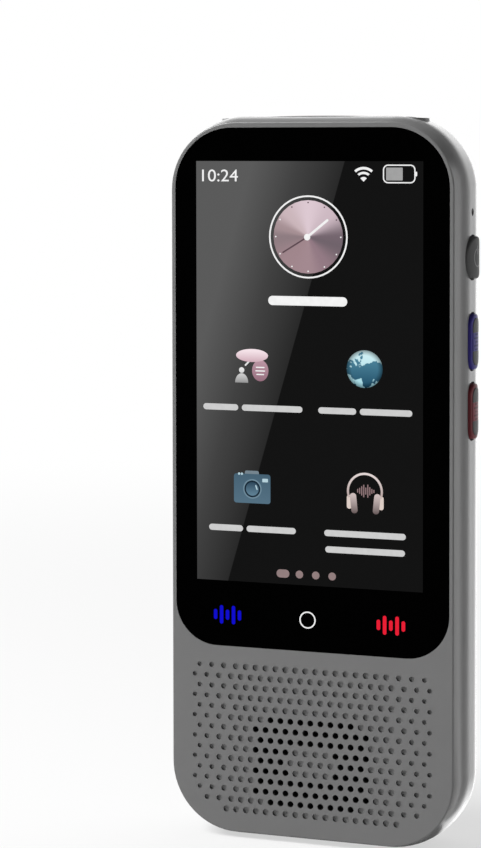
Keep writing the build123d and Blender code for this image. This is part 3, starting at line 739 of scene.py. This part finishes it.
SKINS = {
    "front_housing": "housing_grey",
    "rear_cover": "cover_grey",
    "top_plate": "plate_grey",
    "cover_glass": "glass_black",
    "camera_ring": "ring_black",
    "camera_barrel": "barrel_black",
    "camera_lens": "lens_glass",
    "usb_c_shell": "port_steel",
    "power_key": "key_grey",
    "blue_key_body": "key_blue",
    "blue_key_face": "key_grey",
    "red_key_body": "key_red",
    "red_key_face": "key_grey",
    "blue_key_window": "glow_blue",
    "red_key_window": "glow_red",
}
for node, slot in SKINS.items():
    made_skin = skin(node)

# %% [markdown]
# ## Painted shade and light in the speaker's holes
#
# The walls of the holes are given a darker grey: a painted shade, where little light reaches into the
# holes. The flat floors of the dimples are given a paler grey than the shell: a painted light.

# %% Hole walls and floors
HOLES_LOW = Vector((-22.5, -7.45, 3.0)) * MM
HOLES_HIGH = Vector((22.5, -5.4, 33.5)) * MM
HOLES_CORNER = Vector((14.65, 0, 13.6)) * MM
HOLES_CORNER_REACH = 11.5 * MM
WALL_BELOW, FLOOR_ABOVE = 0.5, 0.9
# Painted shade for the hole walls, and painted light for the dimple floors.
hole_wall_painted_shade = grained("hole_wall_painted_shade", grey(66), 0.6, mottle=0.04, specular=0.2)
dimple_floor_painted_light = grained("dimple_floor_painted_light", grey(138), 0.3, mottle=0.02)
panel = bpy.data.objects["front_housing_skin"]
panel.data.materials.append(hole_wall_painted_shade)
panel.data.materials.append(dimple_floor_painted_light)
painted = [0, 0]
for face in panel.data.polygons:
    spot = face.center
    if not all(low < value < high for low, value, high in zip(HOLES_LOW, spot, HOLES_HIGH)):
        continue
    past = Vector((max(0, abs(spot.x) - HOLES_CORNER.x), max(0, HOLES_CORNER.z - spot.z)))
    if past.length > HOLES_CORNER_REACH:
        continue
    if abs(face.normal.y) < WALL_BELOW:
        face.material_index = 1
        painted[0] += 1
    elif face.normal.y < -FLOOR_ABOVE:
        face.material_index = 2
        painted[1] += 1
print("wall faces and floor faces:", painted)

# %% [markdown]
# ## Thin shapes of light and ink
#
# Everything on the glass is a thin layer: the screen's picture, its signs and the touch marks under
# it. Each starts as a flat shape that faces the front: a plane with its corners bevelled, or a filled
# circle. A middle is inset and taken out, a part is cut away along a line, and then the shape is
# raised by a hair, which gives it a thickness and closes it.

# %% Flat shapes that face the front
FACING_FRONT = (math.radians(90), 0, 0)
LAYER = (0, -INK, 0)
TWO_LAYERS = (0, -2 * INK, 0)
ON_GLASS = GLASS_FRONT
ON_PICTURE = GLASS_FRONT - INK
ON_SIGN = GLASS_FRONT - 2 * INK
ROUND_END = 0.49
CORNER_STEPS = 6
DISC_STEPS = 48
DOT_STEPS = 32


def on_picture(right, up, depth=0.0):
    """A place measured in millimetres from the picture's centre."""
    return Vector((PICTURE_CENTRE.x + right * MM, depth, PICTURE_CENTRE.z + up * MM))


def raised(piece, way=LAYER):
    """Thickens a flat shape along `way` and closes it."""
    edit(piece)
    bpy.ops.mesh.extrude_region_move(TRANSFORM_OT_translate={"value": way})
    bpy.ops.mesh.select_all(action="SELECT")
    bpy.ops.mesh.normals_make_consistent(inside=False)
    fresh()
    return piece


def hollow(piece, rim):
    """Leaves only a rim of a flat shape."""
    edit(piece)
    bpy.ops.mesh.inset(thickness=rim * MM)
    bpy.ops.mesh.delete(type="FACE")
    fresh()
    return piece


def flat_rectangle(width, height, place, facing, radius, steps, turn=0.0):
    """A plate that faces one way. Its corners are bevelled where a radius is given."""
    fresh()
    bpy.ops.mesh.primitive_plane_add(size=1, location=place, rotation=facing)
    piece = bpy.context.object
    piece.scale = (width * MM, height * MM, 1)
    piece.rotation_euler.y += math.radians(turn)
    apply_place()
    if radius:
        edit(piece)
        bpy.ops.mesh.bevel(offset=radius * MM, segments=steps, affect="VERTICES")
        fresh()
    return piece


def flat_plate(width, height, right, up, depth, radius=0.0, turn=0.0):
    """A rounded plate. Sizes are in millimetres, and turn in degrees, clockwise as it is seen."""
    place = on_picture(right, up, depth)
    return flat_rectangle(width, height, place, FACING_FRONT, radius, CORNER_STEPS, turn)


def flat_circle(radius, place, facing, steps, squeeze=1.0):
    """A round plate that faces one way, or an oval one where its height is squeezed."""
    fresh()
    bpy.ops.mesh.primitive_circle_add(
        vertices=steps, radius=radius * MM, fill_type="NGON", location=place, rotation=facing,
    )
    piece = bpy.context.object
    piece.scale.y = squeeze
    apply_place()
    return piece


def flat_disc(radius, right, up, depth, squeeze=1.0, steps=DISC_STEPS):
    return flat_circle(radius, on_picture(right, up, depth), FACING_FRONT, steps, squeeze)


def cut(piece, right, up, turn):
    """Cuts a flat shape along a line and drops what lies on the far side of it.

    The line passes through the given place, and `turn` is the direction that is dropped: 0 is to
    the right and 90 is up.
    """
    edit(piece)
    angle = math.radians(turn)
    dropped = (math.cos(angle), 0, math.sin(angle))
    bpy.ops.mesh.bisect(plane_co=on_picture(right, up), plane_no=dropped, clear_outer=True)
    fresh()
    return piece


def plate(width, height, right, up, depth=ON_PICTURE, radius=0.0, turn=0.0, way=LAYER):
    """A raised plate."""
    return raised(flat_plate(width, height, right, up, depth, radius, turn), way)


def bar(width, height, right, up, depth=ON_PICTURE, turn=0.0, way=LAYER):
    """A raised bar with round ends."""
    return plate(width, height, right, up, depth, ROUND_END * min(width, height), turn, way)


def dot(radius, right, up, depth=ON_PICTURE, squeeze=1.0, way=LAYER):
    return raised(flat_disc(radius, right, up, depth, squeeze, DOT_STEPS), way)


def ring(radius, rim, right, up, depth=ON_PICTURE):
    """A raised round rim."""
    return raised(hollow(flat_disc(radius, right, up, depth), rim))


def copied(piece, right, up):
    """A copy with its own mesh, moved by millimetres."""
    hold(piece)
    bpy.ops.object.duplicate(linked=False)
    bpy.ops.transform.translate(value=(right * MM, 0, up * MM))
    bpy.ops.object.transform_apply(location=True, rotation=False, scale=False)
    return bpy.context.object


def settle(pieces, name, finish, body="housing"):
    """Joins pieces, names them, and gives them a finish and a body to ride on."""
    piece = joined(pieces)
    apply_place()
    piece.name = name
    piece.data.name = name
    piece.data.materials.clear()
    piece.data.materials.append(finish)
    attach(piece, body)
    fresh()
    return piece


# %% [markdown]
# ## Finishes that glow
#
# A display's picture is light from behind the glass, so its colour goes to the shader's emission, and
# the surface itself is nearly black and mirrors very little. A real display is never quite even,
# and a faint noise makes its light a little uneven too. Some signs run from one colour to another,
# and for them the ramp reads the place along an axis.

# %% Glowing finishes
def glow(name):
    """A dark surface whose light comes from behind."""
    made = Finish(name, 0.12, specular=0.03)
    made.shader.inputs["Base Color"].default_value = grey(3)
    made.shader.inputs["Emission Strength"].default_value = 1.0
    made.bump(made.noise(5 * MM), 0.0005 * MM, 0.2)
    return made


def even_glow(name, tint):
    made = glow(name)
    stops = [(0.2, scaled(tint, 0.93)), (0.8, scaled(tint, 1.05))]
    made.ramp(made.noise(0.8 * MM), stops, "Emission Color")
    return made.material


def along(made, start, direction, length):
    """0 at a place and 1 at `length` metres from it in one direction."""
    offset = vector_calc(made.tree, "SUBTRACT", made.place, start)
    return calc(made.tree, "DIVIDE", vector_calc(made.tree, "DOT_PRODUCT", offset, direction), length)


def fading_glow(name, low, high, up_from, up_to):
    """One colour at the height `up_from` on the picture, another at `up_to`."""
    made = glow(name)
    height = along(made, on_picture(0, up_from), (0, 0, 1), (up_to - up_from) * MM)
    made.ramp(height, [(0.0, low), (1.0, high)], "Emission Color")
    return made.material


white_light = even_glow("white_light", grey(244))
caption_light = even_glow("caption_light", grey(206))
dim_light = even_glow("dim_light", grey(162))

# %% [markdown]
# ## The screen's picture
#
# The display is switched on and shows a dark background image. A glare across its left side is a
# painted reflection, laid into the screen's light. It ends in a straight slanted line, and it is
# brightest away from that line. It is one gradient along a slanted axis: a ramp with three soft stops
# and one hard step.

# %% Wallpaper
LINE_TOP = (7.05, 38.75)
LINE_BOTTOM = (-15.48, -38.21)
GLARE_DEPTH = 17.0
GLARE_MARGIN = 1.1
STEP_WIDTH = 0.004
slant = math.atan2(LINE_TOP[0] - LINE_BOTTOM[0], LINE_TOP[1] - LINE_BOTTOM[1])


def wallpaper_with_painted_glare():
    made = glow("wallpaper_with_painted_glare")
    way = Vector((math.cos(slant), 0, -math.sin(slant)))
    start = on_picture(*LINE_BOTTOM) - way * GLARE_DEPTH * MM
    across = along(made, start, way, GLARE_MARGIN * GLARE_DEPTH * MM)
    edge = 1 / GLARE_MARGIN
    # The three brighter stops are the painted glare; the darkest stop is the screen's own dark.
    stops = [(0.0, grey(90)), (edge / 2, grey(65)), (edge - STEP_WIDTH, grey(40)), (edge, grey(17))]
    made.ramp(across, stops, "Emission Color")
    return made.material


picture = plate(PICTURE_WIDTH / MM, PICTURE_HEIGHT / MM, 0, 0, ON_GLASS)
settle([picture], "screen_picture", wallpaper_with_painted_glare())
print("picture slants by", round(math.degrees(slant), 1), "degrees")

# %% [markdown]
# ## The status row
#
# A clock time on the left, a radio sign and a battery on the right. The time is a text object in
# Blender's own typeface, turned into a mesh. The radio sign is two rims cut from discs and a wedge,
# all cut along the same two slanted lines. The battery is the rim of a rounded plate.

# %% Status row
def written(text, width, height, right, up):
    """Text as a raised mesh, as wide and high as given, in millimetres."""
    fresh()
    bpy.ops.object.text_add(location=(0, 0, 0), rotation=FACING_FRONT)
    piece = bpy.context.object
    piece.data.body = text
    bpy.ops.object.convert(target="MESH")
    apply_place()
    xs = [vertex.co.x for vertex in piece.data.vertices]
    zs = [vertex.co.z for vertex in piece.data.vertices]
    piece.scale = (width * MM / (max(xs) - min(xs)), 1, height * MM / (max(zs) - min(zs)))
    middle = Vector((max(xs) + min(xs), 0, max(zs) + min(zs))) / 2 * piece.scale
    piece.location = on_picture(right, up, ON_PICTURE) - middle
    apply_place()
    return raised(piece)


settle([written("10:24", 7.05, 2.2, -17.12, 36.1)], "status_time", white_light)

WIFI = (10.6, 35.07)
WIFI_HALF_ANGLE = 41
WIFI_RIMS = ((2.66, 0.46), (1.78, 0.42), (0.85, None))
wifi_parts = []
for radius, rim in WIFI_RIMS:
    part = flat_disc(radius, *WIFI, ON_PICTURE)
    if rim:
        hollow(part, rim)
    cut(part, *WIFI, -WIFI_HALF_ANGLE)
    cut(part, *WIFI, 180 + WIFI_HALF_ANGLE)
    wifi_parts.append(raised(part))
settle(wifi_parts, "wifi_sign", white_light)

battery_body = raised(hollow(flat_plate(6.1, 3.36, 17.3, 36.47, ON_PICTURE, radius=0.95), 0.22))
battery_tip = bar(0.3, 0.85, 20.5, 36.46)
settle([battery_body, battery_tip], "battery_outline", white_light)
battery_charge = plate(3.1, 2.3, 16.4, 36.46, radius=0.12)
settle([battery_charge], "battery_charge", dim_light)
print("status row: time, radio and battery")

# %% [markdown]
# ## The clock
#
# The clock's dial looks like brushed rose metal: its shade turns with the angle, as it does on a
# brushed disc. A ramp over the angle round the centre does that. The twelve ticks are one dot, copied
# round, and the hands are thin bars.

# %% Clock
CLOCK = (0.03, 24.99)
CLOCK_RIM_RADIUS, DIAL_RADIUS, TICK_RADIUS = 7.56, 6.68, 6.25
DIAL_SHADES = [  # a share of the turn, and the rose tone there
    (0.0, 142, 124, 129), (0.125, 160, 134, 140), (0.25, 163, 137, 144), (0.34, 147, 122, 132),
    (0.46, 112, 99, 107), (0.5, 116, 101, 110), (0.62, 205, 185, 194), (0.75, 221, 201, 210),
    (0.875, 203, 182, 187), (0.95, 166, 144, 148), (1.0, 142, 124, 129),
]


def brushed_dial():
    made = glow("brushed_dial")
    offset = from_axis(made, on_picture(*CLOCK))
    stops = [(share, colour(*tint)) for share, *tint in DIAL_SHADES]
    shades = made.ramp(angle_round(made, offset), stops, "Emission Color")
    shades.color_ramp.interpolation = "EASE"
    return made.material


settle([ring(CLOCK_RIM_RADIUS, 0.3, *CLOCK)], "clock_rim", white_light)
settle([dot(DIAL_RADIUS, *CLOCK)], "clock_dial", brushed_dial())

SHADED_HOURS = (0, 1, 2, 11)
ticks = [dot(0.14, CLOCK[0], CLOCK[1], ON_SIGN)]
ticks += [copied(ticks[0], 0, 0) for hour in range(11)]
for hour, tick in enumerate(ticks):
    angle = math.radians(30 * hour)
    tick.location = Vector((math.sin(angle), 0, math.cos(angle))) * TICK_RADIUS * MM
pale_ticks = [tick for hour, tick in enumerate(ticks) if hour not in SHADED_HOURS]
dark_ticks = [ticks[hour] for hour in SHADED_HOURS]
HOUR_TIP = (3.88, 28.18)
MINUTE_TIP = (-4.95, 22.05)
HUB = (-0.16, 24.95)


def hand(tip, width, depth):
    """A bar from the hub to the tip."""
    run, rise = tip[0] - HUB[0], tip[1] - HUB[1]
    turn = -math.degrees(math.atan2(rise, run))
    return bar(math.hypot(run, rise), width, (tip[0] + HUB[0]) / 2, (tip[1] + HUB[1]) / 2, depth, turn)


hub = dot(0.6, *HUB, ON_SIGN, way=TWO_LAYERS)
settle([hand(HOUR_TIP, 0.44, ON_SIGN), hub, *pale_ticks], "clock_hour_hand", white_light)
hand_shade = even_glow("hand_shade", colour(92, 72, 80))
settle([hand(MINUTE_TIP, 0.28, ON_SIGN), *dark_ticks], "clock_minute_hand", hand_shade)
print("clock: rim, dial, 12 ticks and two hands")

# %% [markdown]
# ## Places for words
#
# Where the screen shows a name and the captions of its four signs, this lesson leaves plain bars, as
# a designer's draft does. They keep the size, the weight and the spacing of the lines.

# %% Word bars
CAPTION_HEIGHT = 1.15
CAPTIONS = [
    (-6.55, [(-20.5, -13.6), (-12.9, -1.1), (1.96, 9.2), (9.9, 19.8)]),
    (-28.9, [(-19.4, -12.7), (-12.0, -2.4), (3.1, 18.6)]),
    (-31.9, [(3.3, 18.45)]),
]
settle([bar(15.2, 1.7, -0.1, 13.3)], "place_bar", white_light)
captions = [
    bar(end - start, CAPTION_HEIGHT, (start + end) / 2, up)
    for up, words in CAPTIONS
    for start, end in words
]
settle(captions, "caption_bars", caption_light)
print("word bars:", len(CAPTIONS), "lines")

# %% [markdown]
# ## Talking in two languages: the speech sign
#
# A pale oval speech bubble with a small tail, a second bubble with three lines in it, and a plain
# figure: a dot over a half oval. Small layers lie on each other, each a hair higher than the last.

# %% Speech sign
REPLY, PERSON = -9.28, -12.92
bubble = dot(3.13, -10.88, 3.1, squeeze=0.385, way=TWO_LAYERS)
rose_white = fading_glow("rose_white", colour(208, 172, 184), colour(246, 228, 234), 1.9, 4.0)
settle([bubble], "speech_bubble", rose_white)
rose_shade = fading_glow("rose_shade", colour(150, 110, 126), colour(188, 150, 164), -1.6, 2.3)
settle([dot(1.6, REPLY, 0.35, squeeze=1.22)], "speech_reply", rose_shade)
REPLY_LINES = ((1.7, 0.95), (1.9, 0.3), (1.5, -0.35))
lines = [bar(width, 0.22, REPLY, up, ON_SIGN) for width, up in REPLY_LINES]
settle(lines, "speech_lines", white_light)
shoulders = raised(cut(flat_disc(1.28, PERSON, -1.95, ON_PICTURE, squeeze=1.34), PERSON, -1.93, -90))
tail = bar(1.5, 0.3, -11.75, 1.72, turn=-45)
silver_light = fading_glow("silver_light", grey(150), grey(232), -1.9, 0.6)
settle([dot(0.52, PERSON, 0.36), shoulders, tail], "speech_person", silver_light)
print("speech sign: two bubbles and a figure")

# %% [markdown]
# ## Talking without a network: the globe
#
# A disc that grows darker downwards and towards its edge, as a lit ball does. Its land is noise:
# where the noise is high there is pale land, and elsewhere there is sea. The step between them is
# sharp, so the coast is crisp.

# %% Globe
GLOBE = (10.8, 1.22)
GLOBE_RADIUS = 3.42
SEA = (colour(24, 72, 98), colour(84, 142, 166))
LAND = (colour(160, 214, 226), colour(212, 242, 246))
LAND_SIZE = 3.2 * MM
LAND_OFFSET = (0.0131, 0.002, 0.0042)


def globe_finish():
    made = glow("globe_light")
    foot = on_picture(GLOBE[0], GLOBE[1] - GLOBE_RADIUS)
    height = along(made, foot, (0, 0, 1), 2 * GLOBE_RADIUS * MM)
    sea, land, coast = (made.node("Mix", data_type="RGBA") for _ in range(3))
    for mix, low, high in ((sea, *SEA), (land, *LAND)):
        mix.inputs["A"].default_value = low
        mix.inputs["B"].default_value = high
        made.join(height, mix.inputs["Factor"])
    lumps = made.noise(LAND_SIZE, 4.0, made.moved(LAND_OFFSET))
    made.ramp(lumps, [(0.467, grey(0)), (0.485, grey(255))], coast.inputs["Factor"])
    made.join(sea.outputs["Result"], coast.inputs["A"])
    made.join(land.outputs["Result"], coast.inputs["B"])
    edge = made.product()
    out = distance(made, from_axis(made, on_picture(*GLOBE)), GLOBE_RADIUS * MM)
    made.ramp(out, [(0.72, grey(255)), (1.0, grey(150))], edge.inputs["A"])
    made.join(coast.outputs["Result"], edge.inputs["B"])
    made.join(edge.outputs["Result"], "Emission Color")
    return made.material


settle([dot(GLOBE_RADIUS, *GLOBE)], "globe_sign", globe_finish())
print("globe: lumps of", LAND_SIZE / MM, "mm")

# %% [markdown]
# ## Reading a picture: the camera sign
#
# A rounded body with a hump, a round lens in three parts, a pale flash window and two small knobs.

# %% Camera sign
LENS_SIGN = (-10.85, -21.5)
steel_blue = fading_glow("steel_blue", colour(84, 112, 130), colour(70, 98, 116), -24.2, -18.8)
settle([plate(7.15, 5.41, -10.9, -21.45, radius=0.5)], "camera_sign", steel_blue)
hump = raised(cut(flat_plate(2.75, 1.4, -10.95, -18.85, ON_PICTURE, radius=0.35), -10.83, -18.745, -90))
settle([hump], "camera_sign_hump", even_glow("steel_grey", colour(118, 134, 144)))
pale_blue = even_glow("pale_blue", colour(184, 212, 222))
flash = plate(1.1, 0.66, -8.35, -19.85, ON_SIGN, radius=0.12)
glint = bar(0.24, 0.95, -10.05, -21.2, ON_SIGN, turn=-20, way=TWO_LAYERS)
knobs = [dot(0.22, right, -18.78, way=TWO_LAYERS) for right in (-13.45, -12.9)]
settle([flash, glint, *knobs], "camera_sign_lights", pale_blue)
rim_blue = even_glow("rim_blue", colour(112, 140, 156))
settle([ring(1.8, 0.24, *LENS_SIGN, ON_SIGN)], "camera_sign_rim", rim_blue)
edge_blue = even_glow("edge_blue", colour(22, 40, 54))
settle([ring(1.56, 0.3, *LENS_SIGN, ON_SIGN)], "camera_sign_lens_edge", edge_blue)
deep_blue = fading_glow("deep_blue", colour(96, 130, 150), colour(44, 70, 90), -22.7, -20.3)
settle([dot(1.26, *LENS_SIGN, ON_SIGN)], "camera_sign_lens", deep_blue)
print("camera sign: body, hump, lights and lens")

# %% [markdown]
# ## Listening along: the headphones sign
#
# The band is the rim of a disc with its lower part cut away. Each side has a pale shell and, in front
# of it, a leaning cushion. The sound between them is a row of bars whose heights rise and fall.

# %% Headphones sign
BAND = (10.86, -21.0)
silver_rose = fading_glow("silver_rose", colour(176, 156, 152), colour(232, 220, 218), -22.4, -17.5)
band = raised(cut(hollow(flat_disc(3.42, *BAND, ON_PICTURE), 0.4), BAND[0], -22.2, -90))
settle([band], "headphones_band", silver_rose)
shells = [plate(0.95, 2.5, right, -23.0, radius=0.45) for right in (7.9, 13.95)]
settle(shells, "headphones_shells", even_glow("pale_gold", colour(222, 206, 198)))
cushions = [
    plate(1.2, 3.7, right, -23.2, radius=0.58, turn=lean, way=TWO_LAYERS)
    for right, lean in ((8.75, -6), (13.1, 6))
]
rose_pad = fading_glow("rose_pad", colour(96, 82, 82), colour(206, 190, 188), -25.1, -21.6)
settle(cushions, "headphones_cushions", rose_pad)
WAVE_HEIGHTS = (0.7, 1.1, 1.7, 2.3, 1.3, 2.4, 1.5, 0.9, 0.6)
WAVE_PITCH = 0.385
sound = [bar(0.2, tall, 9.5 + WAVE_PITCH * step, -20.9) for step, tall in enumerate(WAVE_HEIGHTS)]
settle(sound, "headphones_sound", even_glow("rose_light", colour(150, 124, 126)))
print("headphones sign:", len(WAVE_HEIGHTS), "sound bars")

# %% [markdown]
# ## Page dots
#
# A row of dots at the foot of the picture says which of its pages is shown: that page's dot is long.

# %% Page dots
PAGE_ROW = -36.82
PAGE_PITCH = 3.16
pages = [plate(2.48, 1.5, -4.9, PAGE_ROW, radius=0.72)]
pages.append(dot(0.72, -1.7, PAGE_ROW))
pages += [copied(pages[1], PAGE_PITCH * step, 0) for step in (1, 2)]
settle(pages, "page_dots", even_glow("page_light", colour(146, 126, 126)))
print("pages:", len(pages))

# %% [markdown]
# ## Touch marks under the picture
#
# Two voice marks and a round home mark are lit through the black border of the glass. Each voice
# mark is five bars, and the second and fourth are tall.

# %% Touch marks
VOICE_PITCH = 1.18
VOICE_HEIGHTS = (1.9, 3.45, 1.9, 3.45, 1.9)
TOUCH_ROW = -45.12


def voice_mark(right, name, tint):
    bars = [
        bar(0.7, height, right + (step - 2) * VOICE_PITCH, TOUCH_ROW, ON_GLASS)
        for step, height in enumerate(VOICE_HEIGHTS)
    ]
    return settle(bars, name, even_glow(name + "_light", tint))


voice_mark(-15.8, "voice_mark_blue", colour(14, 12, 205))
voice_mark(15.8, "voice_mark_red", colour(232, 30, 52))
settle([ring(1.57, 0.24, -0.14, TOUCH_ROW, ON_GLASS)], "home_mark", white_light)
print("touch marks in the row", TOUCH_ROW, "mm")

# %% [markdown]
# ## Prints on the keys
#
# The long keys carry the same five bars, printed across their windows in a darker shade of the
# window's own colour. The power key has the usual ring with a gap and a line in it. The keys' tops
# bulge, so a flat print would hang in the air at its sides. Each print is therefore made deep, and
# only what lies inside a round bar a hair thicker than the bulge is kept.

# %% Key prints
FACING_RIGHT = (math.radians(90), 0, math.radians(90))
PRINT = 0.015 * MM
PRINT_DEPTH = 0.2 * MM
KEY_CROWN = 9 * MM
CROWN_LENGTH = 12 * MM
ROUND_STEPS = 256
BAR_STEPS = 4


def side_bar(depth_size, height, place):
    """A flat bar that faces the right side, at a place in metres."""
    radius = ROUND_END * min(depth_size, height)
    return flat_rectangle(depth_size, height, place, FACING_RIGHT, radius, BAR_STEPS)


def on_crown(shapes, crest):
    """Raises flat shapes below a key's crest through it, and trims them to its bulge."""
    for shape in shapes:
        raised(shape, (2 * PRINT_DEPTH, 0, 0))
    shape = joined(shapes)
    fresh()
    bpy.ops.mesh.primitive_cylinder_add(
        vertices=ROUND_STEPS, radius=KEY_CROWN + PRINT, depth=CROWN_LENGTH,
        location=crest - Vector((KEY_CROWN, 0, 0)),
    )
    crown = bpy.context.object
    finish_modifier(shape, "BOOLEAN", operation="INTERSECT", solver="EXACT", object=crown)
    hold(crown)
    bpy.ops.object.delete()
    return shape


def crest_of(node):
    low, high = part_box(node)
    return Vector((high.x, (low.y + high.y) / 2, (low.z + high.z) / 2))


PRINT_PITCH = 0.68
PRINT_STROKE = 0.32
PRINT_LENGTHS = (1.6, 2.7, 1.6, 2.7, 1.6)
for side, tint in (("blue", colour(34, 29, 98)), ("red", colour(98, 42, 50))):
    crest = crest_of(side + "_key_window")
    bars = [
        side_bar(length, PRINT_STROKE, crest + Vector((-PRINT_DEPTH, 0, (step - 2) * PRINT_PITCH * MM)))
        for step, length in enumerate(PRINT_LENGTHS)
    ]
    ink = grained(side + "_ink", tint, 0.5, mottle=0.04, specular=0.25)
    settle([on_crown(bars, crest)], side + "_key_print", ink, side + "_key")

POWER_RING = 1.75
POWER_GAP = 0.65 * MM
POWER_STROKE = 0.24
POWER_LINE = 1.6
POWER_LINE_UP = 1.35 * MM
crest = crest_of("power_key")
sunk = crest - Vector((PRINT_DEPTH, 0, 0))
power_ring = hollow(flat_circle(POWER_RING, sunk, FACING_RIGHT, DISC_STEPS), POWER_STROKE)
edit(power_ring, "DESELECT")
pick_faces(power_ring, lambda spot: spot.z > crest.z and abs(spot.y - crest.y) < POWER_GAP)
bpy.ops.mesh.delete(type="FACE")
fresh()
power_line = side_bar(POWER_STROKE, POWER_LINE, sunk + Vector((0, 0, POWER_LINE_UP)))
power_ink = grained("power_ink", grey(150), 0.5, mottle=0.04, specular=0.25)
settle([on_crown([power_ring, power_line], crest)], "power_print", power_ink, "power_key")
print("prints on three keys")

# %% [markdown]
# ## Contacts of the charging port
#
# The port's tongue carries twelve gilded contacts on each side. One is made, its edges are eased,
# and the rest are copies. They are half sunk into the tongue, as they are in the moulded part.

# %% Port contacts
CONTACTS = 12
CONTACT_PITCH = 0.5
CONTACT_SIZE = Vector((0.26, 0.06, 2.8)) * MM
CONTACT_MIDDLE = 2 * MM
CONTACT_ROUND = 0.01 * MM
tongue_low, tongue_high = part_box("usb_c_tongue")
tongue_middle = (tongue_low + tongue_high) / 2
fresh()
first_x = tongue_middle.x - (CONTACTS - 1) / 2 * CONTACT_PITCH * MM
bpy.ops.mesh.primitive_cube_add(size=1, location=(first_x, tongue_low.y, tongue_low.z + CONTACT_MIDDLE))
contact = bpy.context.object
contact.scale = CONTACT_SIZE
apply_place()
finish_modifier(contact, "BEVEL", width=CONTACT_ROUND, segments=2)
copies = [copied(contact, step * CONTACT_PITCH, 0) for step in range(1, CONTACTS)]
front_row = joined([contact, *copies])
back_row = copied(front_row, 0, 0)
back_row.location.y += tongue_high.y - tongue_low.y
settle([front_row, back_row], "port_contacts", brass)
print("port contacts:", 2 * CONTACTS)
